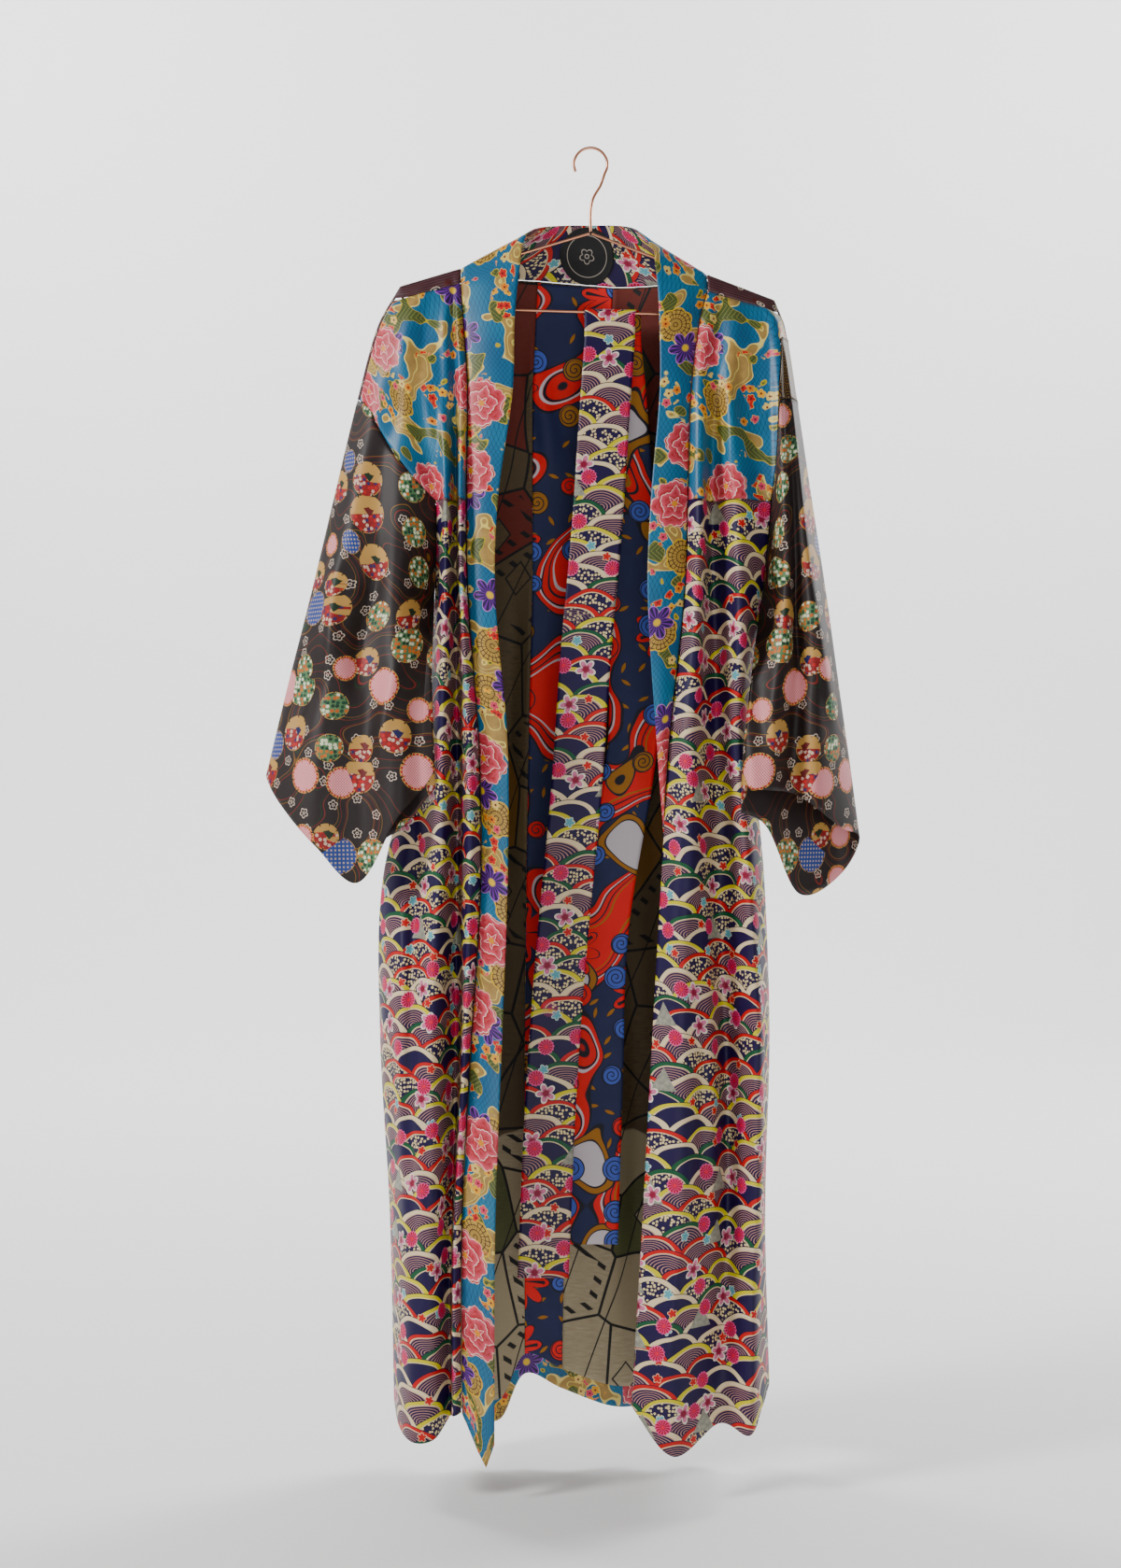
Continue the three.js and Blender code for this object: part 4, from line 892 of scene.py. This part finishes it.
def beige_cloth():
    """Slubbed cloth with dark outlines and coloured fields, brown above and pale near the hem: partly its
    own colours, partly painted shade above and painted light near the hem.
    """
    ink = Ink("beige_slub", 0.75, 0.05)
    # The height under which the cloth turns pale: partly its own colour, partly painted light near the hem.
    field_size, shift, pale_and_lit_below = 86, 6.4, -1090
    slub = ink.noise(14, 3, y=ink.y * 6)
    # Painted shade and light: under a wavy height the ground is paler, partly painted light near the hem;
    # the browner ground above is partly painted shade.
    pale_and_lit_low = ink.below(ink.y + ink.noise(60, 1) * 60, pale_and_lit_below, 2)
    ground = ink.mix(pale_and_lit_low, ink.mix(slub, "857a68", "ab9f8a"), ink.mix(slub, "c0b8a8", "e2dccd"))
    spot = ink.cells(field_size, 0.9, shift)
    # Browner fields above, partly painted shade, and paler fields near the hem, partly painted light.
    dark = ink.pick(spot.picks[0], ["9a8f7c", "a8604a", "a89c84", "74775a", "9a8f7c", "b39a5c"])
    pale = ink.pick(spot.picks[0], ["d0c9b9", "b4604a", "dad3c4", "828d55", "d0c9b9", "d2b062"])
    field = ink.mix(pale_and_lit_low, dark, pale)
    use = ink.above(ink.frac(spot.picks[1] * 7), 0.4, 0.001)
    ink.colour = ink.mix(use * 0.85, ground, field)
    edges = ink.voronoi(field_size, 0.9, shift)[0]
    edges.feature = "DISTANCE_TO_EDGE"
    gap = Num(ink, edges.outputs["Distance"]) * field_size
    line = "3a3430"
    bars = ink.above(ink.sin((ink.x * 0.7 + ink.y) / 3.2), 0.55, 0.3)
    striped = ink.below(ink.frac(spot.picks[2] * 5), 0.34, 0.001) * ink.near(gap, 12, 5, 0.5)
    ink.lay(bars * striped, line)
    box, half_box = ink.size(spot.dx) + ink.size(spot.dy) * 0.8, 15
    diamond = ink.above(ink.frac(spot.picks[1] * 11), 0.45, 0.001)
    ink.lay(ink.below(box, half_box, 0.5) * diamond, ground)
    ink.lay(ink.near(box, half_box, 1.1, 0.4) * diamond, line)
    ink.lay(ink.near(gap, 0, 1.5, 0.4), line)
    twig = ink.near(ink.frac((ink.x - ink.y * 0.35) / 61), 0.5, 0.014, 0.006)
    ink.lay(twig, line)
    return ink.finish(0.5, 0.3)


def navy_cloth(name, bright):
    """Navy cotton with red fields, spirals, petals and small leaves; bright for the sash."""
    ink = Ink(name, 0.7, 0.05)
    navy, line = ink.mix(ink.noise(40, 1), "5a648a", "667096"), "40445e"
    field = ink.noise(85 if bright else 95, 0.4, 2.0 if bright else 6.0)
    red, white, mustard = "f05850", "ece8ea", "cfae58"
    start = 0.455 if bright else 0.52
    leaf = ink.cells(21, 0.7, 14.2)
    long = ink.op("COSINE", leaf.angle) * leaf.r
    across = ink.sin(leaf.angle) * leaf.r
    shape = ink.size(across) * 2.6 + long * long * 0.13
    there = leaf.some(0.5)
    ink.colour = ink.mix(ink.below(shape, 6.8, 0.4) * there, navy, line)
    ink.lay(ink.below(shape, 5.4, 0.4) * there, mustard)
    ink.lay(ink.above(field, start, 0.004), red)
    last = mustard if bright else white
    for level, code in ((0, line), (0.04, white), (0.052, line), (0.095, line), (0.125, last)):
        ink.lay(ink.near(field, start + level, 0.0055, 0.003), code)
    if bright:
        sand = ink.noise(70, 0.3, 21.0)
        for level, code in ((0.61, mustard), (0.67, white)):
            ink.lay(ink.above(sand, level, 0.004), code)
        for level in (0.61, 0.67):
            ink.lay(ink.near(sand, level, 0.007, 0.003), line)
    flower = ink.cells(104, 0.6, 19.4)
    ink.blossom(flower, red, 9, 36, 0.5, 0.75, line, 1.6)
    vein = ink.near(ink.sin(flower.angle * 4.5), 1.0, 0.05, 0.03)
    inside = ink.above(ink.petals(flower, 9, 30, 0.5) - flower.r, 0, 0.4)
    ink.lay(vein * inside * flower.some(0.75), line)
    disc = ink.cells(50, 0.65, 27.2)
    turn = ink.frac(disc.r / 5.0 + ink.op("ARCTAN2", disc.dy, disc.dx) / math.tau)
    face = ink.pick(disc.picks[1], ["94a4da", "cfae58", "94a4da", "94a4da", "f05850"])
    face = ink.mix(ink.near(turn, 0.5, 0.13, 0.08) * ink.below(disc.r, 11, 0.4), face, line)
    radius = disc.picks[2] * 5 + 9
    there = disc.some(0.62)
    ink.lay(ink.above(radius - disc.r, -1.4, 0.4) * there, line)
    ink.lay(ink.above(radius - disc.r, 0, 0.4) * there, face)
    return ink.finish(0.3)


def label_cloth():
    """Black twill disc with a stitched edge, a thin ring and one blossom outline."""
    ink = Ink("label_twill", 0.7, 0.05)
    thread_white = "cfcac4"
    spot = Spot(ink.x, ink.y, [0, 0, 0.05])
    r = spot.r
    twill = ink.above(ink.sin((ink.x + ink.y) * 5), 0.2, 0.8)
    ink.colour = ink.mix(twill, "0d0d10", "1b1b1f")
    ink.lay(ink.near(r, 22.5, 0.4, 0.3), thread_white)
    ink.lay(ink.near(ink.petals(spot, 5, 9, 0.34) - r, 0.8, 0.55, 0.3), thread_white)
    ink.lay(ink.near(r, 2.2, 0.5, 0.3), thread_white)
    thread = ink.above(ink.sin(spot.angle * 90), 0.0, 0.8)
    rim = ink.mix(thread, "0b0b0d", "26262b")
    ink.lay(ink.above(r, 28.6, 0.3), rim)
    return ink.finish(0.3)


def fabrics():
    """Every material of the robe and its hanger, by name."""
    return {"floral": floral_cloth(), "wave": wave_cloth(), "mauve": mauve_cloth(),
            "brown": brown_cloth(), "black": black_cloth(), "beige": beige_cloth(),
            "navy": navy_cloth("navy_cotton", False),
            "sash": navy_cloth("sash_cotton", True), "label": label_cloth(),
            "copper": plain("copper_wire", (0.62, 0.27, 0.16, 1), 0.3, 1.0)}


front_left = Drape(FRONT_LEFT, BODY_LEVELS)
front_right = Drape(FRONT_RIGHT, BODY_LEVELS)
back = Drape(BACK, BODY_LEVELS)
sleeve_left = Drape(SLEEVE_LEFT, SLEEVE_LEVELS)
sleeve_right = Drape(SLEEVE_RIGHT, SLEEVE_LEVELS)

# Rows of points down each piece, or steps across the narrow ones.
YOKE_ROWS = 44
SKIRT_ROWS = 170
SLEEVE_ROWS = 74
PATCH_ROWS = 20
STRIP_ROWS, STRIP_END_ROWS = 26, 30
BAND_STEPS = 16
TIP_ROWS = 12
SASH_ROWS, SASH_STEPS, SASH_OVER_ROWS = 175, 16, 12
DISC_STEPS = 32
WIRE_STEPS, HOOK_STEPS, TIP_STEPS = 90, 8, 16
# Heights at which the width of a piece decides how many points it gets across.
YOKE_HEIGHTS, SKIRT_HEIGHTS, SLEEVE_HEIGHTS = (-300,), (-700, -1100), (-500, -700)


def front_yoke(body, sleeve, seam):
    """Upper front: the body's fold lines, then the cap over the end of the shoulder."""
    chest = stretch(body, stations_for(body, list(range(body.count + 1)), YOKE_HEIGHTS),
                    lambda u: body.top(u) - STRIP_FRONT, lambda u: CROSS_SEAM + SEAM / 2, YOKE_ROWS)
    places = stations_for(sleeve, [0, 1, 2, 3, 4, OUTER_FOLD - STRIP_REACH], YOKE_HEIGHTS)
    cap = stretch(sleeve, places[1:], lambda u: sleeve.top(u) - STRIP_FRONT,
                  lambda u: sleeve.edge(seam, u) + SEAM, YOKE_ROWS)
    return crease(np.concatenate([chest, cap]), 1.0)


def skirt(body):
    """Lower front, from the cross seam to the hem."""
    places = stations_for(body, list(range(body.count + 1)), SKIRT_HEIGHTS)
    grid = stretch(body, places, lambda u: CROSS_SEAM - SEAM / 2, lambda u: body.column("hem", u),
                   SKIRT_ROWS)
    return crease(grid, 1.0, calm_sides(grid, False))


def sleeve_side(places):
    """1 on the front of a sleeve, -1 on the back, and between them at the outer fold."""
    return np.clip((OUTER_FOLD - np.asarray(places)) / SIDE_BLEND, -1, 1)[:, None]


def sleeve_stations(sleeve, first=0, last=9):
    """Places round a sleeve, with the edges of the shoulder strip among them."""
    lines = [0, 1, 2, 3, 4, OUTER_FOLD - STRIP_REACH, OUTER_FOLD, OUTER_FOLD + STRIP_REACH, 6, 7, 8, 9]
    lines = [first, *[u for u in lines if first < u < last], last]
    return stations_for(sleeve, lines, SLEEVE_HEIGHTS)


def sleeve_panel(sleeve):
    """One sleeve, all round from armhole to armhole, with the grain of its cloth."""
    places = sleeve_stations(sleeve)
    grid = stretch(sleeve, places, lambda u: sleeve.edge("seam", u) - SEAM,
                   lambda u: sleeve.column("cuff", u), SLEEVE_ROWS)
    grid = crease(grid, sleeve_side(places))
    return grid, sleeve_grain(grid, places)


def sleeve_patch(sleeve):
    """The piece let in at the top of the right sleeve, front and back."""
    places = sleeve_stations(sleeve, 0.5, 8.5)
    grid = stretch(sleeve, places, lambda u: sleeve.edge("patch", u) - sleeve.edge("slack", u),
                   lambda u: sleeve.edge("seam", u) + sleeve.edge("slack", u) / 2, PATCH_ROWS)
    return crease(grid, sleeve_side(places))


def back_yoke():
    """Upper back with a cap over the end of each shoulder."""
    tops = [NECK_TOPS[row["fold"]] - SEAM if row["fold"] in NECK_TOPS
            else float(wire_height(row["across"][0])) - STRIP_BACK for row in BACK]

    def cap(sleeve, seam):
        places = stations_for(sleeve, [OUTER_FOLD + STRIP_REACH, 6, 7, 8, 9], YOKE_HEIGHTS)
        return stretch(sleeve, places[:-1], lambda u: sleeve.top(u) - STRIP_BACK,
                       lambda u: sleeve.edge(seam, u) + SEAM, YOKE_ROWS)

    places = stations_for(back, list(range(back.count + 1)), YOKE_HEIGHTS)
    body = stretch(back, places, lambda u: ramp(tops, u), lambda u: CROSS_SEAM + SEAM / 2, YOKE_ROWS)
    left, right = cap(sleeve_left, "seam"), cap(sleeve_right, "patch")[::-1]
    whole = crease(np.concatenate([left, body, right]), -1.0)
    return whole, len(left), len(left) + len(body), places


def along(chain, share):
    """The point a share of the way along a chain, counted in its steps."""
    place = share * (len(chain) - 1)
    i = min(int(place), len(chain) - 2)
    return chain[i] + (chain[i + 1] - chain[i]) * (place - i)


def shoulder_strip(front_edge, back_edge, sleeve, seam):
    """The strip over one arm of the hanger and on down the outer fold to the sleeve seam."""
    lean = math.sqrt(0.5)
    corner = OUTER_FOLD - STRIP_REACH
    first, last = front_edge[0][0], float(sleeve.at(corner, np.array([float(sleeve.top(corner))]))[0][0])
    grid = []
    for share in spread(0, 1, STRIP_ROWS):
        edge, behind = along(front_edge, share), along(back_edge, share)
        x = first + (last - first) * share
        z = float(wire_height(x))
        side_front, side_back = np.array([x, -ARCH, z]), np.array([x, ARCH, z])
        trim = SEAM * 1.5 + END_TRIM * share**8
        falls = [edge + (side_front - edge) * t for t in np.linspace(trim / STRIP_FRONT, 1, FALL_POINTS)]
        over = [np.array([x, -ARCH * lean, z + ARCH * lean]), np.array([x, 0, z + ARCH]),
                np.array([x, ARCH * lean, z + ARCH * lean])]
        rear = [behind + (side_back - behind) * t for t in np.linspace(1, trim / STRIP_BACK, FALL_POINTS)]
        grid.append(falls + over + rear)
    reach = np.interp(np.linspace(0, 1, len(grid[0])), np.linspace(0, 1, len(STRIP_SPREAD)), STRIP_SPREAD)
    start, stop = front_edge[-1][2], sleeve.edge(seam, OUTER_FOLD) + SEAM
    for z in spread(start, stop, STRIP_END_ROWS)[1:]:
        grid.append([sleeve.at(OUTER_FOLD + STRIP_REACH * END_WIDTH * r, np.array([z]))[0] for r in reach])
    return np.array(grid, float)


yoke_left = front_yoke(front_left, sleeve_left, "seam")
yoke_right = front_yoke(front_right, sleeve_right, "patch")
skirt_left = skirt(front_left)
skirt_right = skirt(front_right)
yoke_back, body_from, body_to, back_places = back_yoke()
skirt_back = stretch(back, back_places, lambda u: CROSS_SEAM - SEAM / 2,
                     lambda u: back.column("hem", u), SKIRT_ROWS)
skirt_back = crease(skirt_back, -1.0, calm_sides(skirt_back, True))


def back_column(u):
    """The column of the back's points that is nearest to u."""
    return int(np.abs(np.array(back_places) - u).argmin())


# Fold lines of the back where the front's band seams meet it.
neck_from, neck_to = body_from + back_column(3), body_from + back_column(9)
strip_left = shoulder_strip(yoke_left[:, 0], yoke_back[:neck_from + 1, 0][::-1], sleeve_left, "seam")
strip_right = shoulder_strip(yoke_right[:, 0], yoke_back[neck_to:, 0], sleeve_right, "patch")


def free_in_front(rows, edge, seam):
    """The free edge of the band in front, at the height of a point of the seam."""
    levels = [float(wire_height(rows[0]["across"][0])), *BODY_LEVELS, edge["hem"]]
    share = (seam[2] - levels[0]) / (rows[0]["hem"] - levels[0])
    z = levels[0] + share * (edge["hem"] - levels[0])
    return np.array([track(levels, edge["across"], z), track(levels, edge["depth"], z), z], float)


def smooth_curve(points, share):
    """A point of a curve through all the points."""
    values = [np.asarray(p, float) for p in points]
    return blend(values, share * (len(values) - 1))


def neck_band():
    """The band up the left front edge, round the neck and down the right front edge."""
    turn = strip_left.shape[1] - 1
    rounded = [*strip_left[0], *yoke_back[neck_from + 1:neck_to, 0], *strip_right[0][::-1]]
    last = len(rounded) - 1
    rows = []
    for k, seam in enumerate(rounded):
        share = 0.5 + (k - last / 2) / (last - 2 * turn) * (1 - 2 * NECK_TURN)
        if k < turn:
            share = NECK_TURN * k / turn
        if k > last - turn:
            share = 1 - NECK_TURN * (last - k) / turn
        rows.append((seam, smooth_curve(NECK_FREE, share), 0))

    def front(yoke, panel, table, edge):
        chain = [*yoke[0][:-1], *panel[0]]
        return [(seam, free_in_front(table, edge, seam), BAND_CROWN) for seam in chain]

    left = front(yoke_left, skirt_left, FRONT_LEFT, BAND_EDGE_LEFT)[::-1]
    right = front(yoke_right, skirt_right, FRONT_RIGHT, BAND_EDGE_RIGHT)
    grid = []
    for seam, edge, crown in [*left, *rows, *right]:
        sewn = seam + (edge - seam) / np.linalg.norm(edge - seam) * BAND_GAP
        line = []
        for share in spread(0, 1, BAND_STEPS):
            point = sewn + (edge - sewn) * share
            point[1] -= crown * math.sin(math.pi * share)
            line.append(point)
        grid.append(line)
    grid = np.array(grid)
    tip = np.interp(np.linspace(0, 1, BAND_STEPS + 1), np.linspace(0, 1, len(BAND_TIP)), BAND_TIP)
    for k in range(TIP_ROWS):
        grid[k, :, 2] -= tip * (1 - k / TIP_ROWS)
    return grid, len(left), len(left) + len(rows)


band, band_from, band_to = neck_band()


def back_lining(first, last):
    """A panel of the back lining, from the points of the back, moved inwards."""
    body = yoke_back[body_from:body_to]
    whole = np.concatenate([body, skirt_back[:, 1:]], axis=1)
    normals = normals_of(whole)
    a, b = back_column(first), back_column(last)
    drop = round(LINING_SHORT / DOWN_STEP)
    grid, facing = whole[a:b + 1, :-drop].copy(), normals[a:b + 1, :-drop].copy()
    for line in grid:
        line[0] += (line[1] - line[0]) * LINING_TOP
    for edge, nearby in ((0, 1), (-1, -2)):
        step = grid[nearby] - grid[edge]
        grid[edge] += step / np.linalg.norm(step, axis=-1, keepdims=True) * SEAM / 2
    return grid, facing


def sash_grid():
    """The sash: up in front, over the hanger's bar and down behind."""
    columns = np.linspace(0, 1, SASH_STEPS + 1)
    falling = SASH_FRONT[::-1]

    def length(rows, z):
        heights = [row[0] for row in rows]
        left = track(heights, [row[1] for row in rows], z)
        depth = track(heights, [row[2] for row in rows], z)
        return [[float(left) + SASH_WIDE * c, float(depth), z] for c in columns]

    front = [length(falling, z) for z in spread(SASH_FRONT[0][0], SASH_FRONT[-1][0], SASH_ROWS)]
    rear = [length(SASH_BACK, z) for z in spread(SASH_BACK[0][0], SASH_BACK[-1][0], SASH_ROWS)]
    radius = (WIRE + SASH_THICK) / 2 + SASH_CLEAR
    over = []
    for share in spread(0, 1, SASH_OVER_ROWS):
        angle = math.pi * (share - 0.5)
        left = SASH_FRONT[-1][1] + (SASH_BACK[0][1] - SASH_FRONT[-1][1]) * share
        over.append([[left + SASH_WIDE * c, radius * math.sin(angle),
                      bar_height(left + SASH_WIDE * c) + radius * math.cos(angle)] for c in columns])
    return np.array(front + over + rear)


def tube(name, points, radius, material):
    """Round wire along a smooth path."""
    curve = bpy.data.curves.new(name, "CURVE")
    curve.dimensions = "3D"
    curve.bevel_depth = radius * MM
    curve.bevel_resolution = 6
    curve.use_fill_caps = True
    line = curve.splines.new("POLY")
    line.points.add(len(points) - 1)
    for spot, point in zip(line.points, points):
        spot.co = (*[value * MM for value in point], 1)
    curve.materials.append(material)
    wire = placed(name, curve)
    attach(wire, "root")
    return wire


def bezier(p0, p1, p2, p3, steps):
    """Points of a cubic curve from p0 to p3."""
    return [[a * (1 - t)**3 + 3 * b * t * (1 - t)**2 + 3 * c * t * t * (1 - t) + d * t**3
             for a, b, c, d in zip(p0, p1, p2, p3)] for t in spread(0, 1, steps)]


def hanger_path():
    """The triangle of wire, open under the hook."""
    def point(x, z):
        return x, 0, float(z)

    left, right = TIP_LEFT_X + TIP_ROUND, TIP_RIGHT_X - TIP_ROUND
    far_left, far_right = TIP_LEFT_X - TIP_ROUND / 4, TIP_RIGHT_X + TIP_ROUND / 4
    start, end = point(-STEM_HALF, wire_height(-STEM_HALF)), point(STEM_HALF, wire_height(STEM_HALF))
    return ([start] + bezier(point(left, wire_height(left)), point(far_left, TIP_LEFT_Z),
                             point(far_left, BAR_LEFT_Z), point(left, bar_height(left)), TIP_STEPS)
            + bezier(point(right, bar_height(right)), point(far_right, BAR_RIGHT_Z),
                     point(far_right, TIP_RIGHT_Z), point(right, wire_height(right)), TIP_STEPS)
            + [end])


def hook_path():
    """The stem, its bend to the right and the round of the hook."""
    foot = APEX_Z + WIRE / 2 + HOOK_GAP
    centre = WIRE / 2 - HOOK_RADIUS
    points = [[x, foot + z] for x, z in HOOK_STEM]
    for degrees in spread(HOOK_FROM, HOOK_TO, HOOK_STEPS):
        angle = math.radians(degrees)
        points.append([HOOK_RADIUS * math.cos(angle), centre + HOOK_RADIUS * math.sin(angle)])
    smooth = [smooth_curve(points, share) for share in spread(0, 1, WIRE_STEPS)]
    return [(x, 0, z) for x, z in smooth]


# The cut of each piece: width and length in metres, area where it isn't a rectangle, what it hangs from.
CUTS = {
    "front_yoke_left": (0.26, 0.25, 0.03, "hung", "shoulder_left"),
    "front_yoke_right": (0.3, 0.245, 0.0275, "hung", "shoulder_right"),
    "front_skirt_left": (0.235, 1.04, 0.198, "hung", "front_yoke_left"),
    "front_skirt_right": (0.28, 1.05, 0.222, "hung", "front_yoke_right"),
    "shoulder_left": (0.04, 0.21, 0.0038, "hung", "hanger_frame"),
    "shoulder_right": (0.046, 0.13, 0.0032, "hung", "hanger_frame"),
    "back_yoke": (0.75, 0.26, 0.1135, "hung", "hanger_frame"),
    "back_skirt": (0.615, 1.05, 0.527, "hung", "back_yoke"),
    "sleeve_left": (0.62, 0.505, 0.161, "hung", "back_yoke"),
    "sleeve_right": (0.446, 0.56, 0.12, "hung", "back_yoke"),
    "sleeve_patch_right": (0.26, 0.066, 0.0054, "hung", "back_yoke"),
    "neckband": (0.08, 2.85, 0.111, "hung", "back_yoke"),
    "lining_back_left": (0.197, 1.285, 0.185, "hung", "back_yoke"),
    "lining_back_centre": (0.087, 1.25, 0.0835, "hung", "back_yoke"),
    "lining_back_right": (0.262, 1.27, 0.267, "hung", "back_yoke"),
    "belt": (0.057, 2.16, None, "draped", "hanger_frame"),
    "label_patch": (0.062, 0.062, 0.003, "laid", "neckband"),
}
cloth = fabrics()


def sew(name, grid, outer, inner, sides=(), normals=None, **more):
    """Makes one piece of cloth, with its edges tucked in at the sides that are sewn."""
    normals = normals_of(grid) if normals is None else normals
    grid = tuck(grid, normals, sides)
    piece = shell("cloth_" + name, grid, cloth[outer], cloth[inner], normals, **more)
    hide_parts(name)
    width, length, area, held, support = CUTS[name]


ALL_ROUND = ("top", "bottom", "left", "right")
sew("front_yoke_left", yoke_left, "floral", "beige", ALL_ROUND)
sew("front_yoke_right", yoke_right[::-1], "floral", "beige", ALL_ROUND)
sew("front_skirt_left", skirt_left, "wave", "beige", ("top", "left", "right"))
sew("front_skirt_right", skirt_right[::-1], "wave", "beige", ("top", "left", "right"))
sew("shoulder_left", strip_left[::-1], "mauve", "beige", ("top", "bottom"), uv=strip_grain(strip_left[::-1]))
sew("shoulder_right", strip_right, "mauve", "beige", ("top", "bottom"), uv=strip_grain(strip_right))
sew("back_yoke", yoke_back, "mauve", "beige", ALL_ROUND)
sew("back_skirt", skirt_back, "floral", "floral", ("top", "left", "right"))
for side, sleeve in (("left", sleeve_left), ("right", sleeve_right)):
    tube_grid, tube_grain = sleeve_panel(sleeve)
    sew("sleeve_" + side, tube_grid, "brown", "brown", ("top", "left", "right"), uv=tube_grain)
sew("sleeve_patch_right", sleeve_patch(sleeve_right), "black", "black", ("top", "bottom"))
sew("neckband", band[::-1], "floral", "wave", ("top",), uv=strip_grain(band)[::-1])
for side, first, last, weave in LINING_PANELS:
    grid, facing = back_lining(first, last)
    sew("lining_back_" + side, grid, weave, weave, ("left", "right"), thick=LINING,
        shift=-LINING_OFF, normals=facing)
sash = sash_grid()
sew("belt", sash, "sash", "wave", thick=SASH_THICK, uv=strip_grain(sash))
frame_wire = tube("hanger_frame_wire", hanger_path(), WIRE / 2, cloth["copper"])
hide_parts("hanger_frame")
hook_wire = tube("hanger_hook_wire", hook_path(), WIRE / 2, cloth["copper"])
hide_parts("hanger_hook")


def label_disc():
    """The round patch, a square grid drawn out to a disc on the inside of the band."""
    rows = band[band_from:band_to]
    grid, flat = [], []
    for u in np.linspace(-1, 1, DISC_STEPS + 1):
        line, spots = [], []
        for v in np.linspace(-1, 1, DISC_STEPS + 1):
            x, z = u * math.sqrt(1 - v * v / 2) * PATCH_RADIUS, v * math.sqrt(1 - u * u / 2) * PATCH_RADIUS
            line.append(band_point(rows, PATCH_X + x, PATCH_SHARE - z / BAND_WIDE))
            spots.append((x, z))
        grid.append(line)
        flat.append(spots)
    return np.array(grid), np.array(flat)


def band_point(rows, x, share):
    """The point of the band behind the neck at x, a share of the way from seam to free edge."""
    place = share * BAND_STEPS
    k = max(math.ceil(place) - 1, 0)
    line = rows[:, k + 1] + (rows[:, k] - rows[:, k + 1]) * (k + 1 - place)
    order = np.argsort(line[:, 0])
    return [float(np.interp(x, line[order, 0], line[order, axis])) for axis in range(3)]


disc, disc_uv = label_disc()
sew("label_patch", disc, "label", "label", thick=LINING, shift=-(CLOTH + LINING) / 2 - PATCH_GAP, uv=disc_uv)


def studio_floor():
    """A pale floor that curves up behind the kimono into a backdrop."""
    bend, flat_to, half_wide, floor_z = 1.2, 4, 9, -1.5
    turns = [math.radians(a) for a in range(0, 91, 6)]
    round_part = [(flat_to + bend * math.sin(a), bend * (1 - math.cos(a))) for a in turns]
    profile = [(-6, 0), *round_part, (flat_to + bend, 9)]
    points = [(x, y, z + floor_z) for y, z in profile for x in (-half_wide, half_wide)]
    faces = [(2 * k, 2 * k + 1, 2 * k + 3, 2 * k + 2) for k in range(len(profile) - 1)]
    mesh = bpy.data.meshes.new("floor")
    mesh.from_pydata(points, [], faces)
    mesh.polygons.foreach_set("use_smooth", [True] * len(faces))
    mesh.materials.append(plain("floor_paint", (0.9, 0.9, 0.9, 1), 0.9))
    floor = placed("floor", mesh)


studio_floor()

world = bpy.data.worlds.new("studio")
bpy.context.scene.world = world
world.use_nodes = True
sky = world.node_tree.nodes["Background"].inputs
sky["Color"].default_value = (1, 1, 1, 1)
sky["Strength"].default_value = 0.3


def lamp(name, place, aim, size, power):
    """A soft square light aimed at a point."""
    light = bpy.data.lights.new(name, "AREA")
    light.size = size
    light.energy = power
    made = placed(name, light)
    made.location = place
    made.rotation_euler = (Vector(aim) - Vector(place)).to_track_quat("-Z", "Y").to_euler()


lamp("key", (-2.8, -1.5, 0.9), (0, 0, -0.7), 0.7, 112)
lamp("fill", (0.3, -2.6, -0.9), (0, 0, -0.8), 1.2, 16)
lamp("rear", (2.6, 1.6, 0.6), (0, 0, -0.7), 0.8, 60)
lamp("backdrop_left", (-2.6, 2.4, 2.6), (-0.8, 5.2, -0.2), 1.5, 230)
lamp("backdrop_right", (2.6, 2.4, 2.6), (0.8, 5.2, -0.2), 1.5, 230)

lens = bpy.data.cameras.new("camera")
lens.lens = 50
lens.sensor_fit = "VERTICAL"
lens.sensor_height = 36
camera = placed("camera", lens)
camera.location = (-0.034, -2.46, -0.717)
camera.rotation_euler = (math.pi / 2, 0, 0)
bpy.context.scene.camera = camera
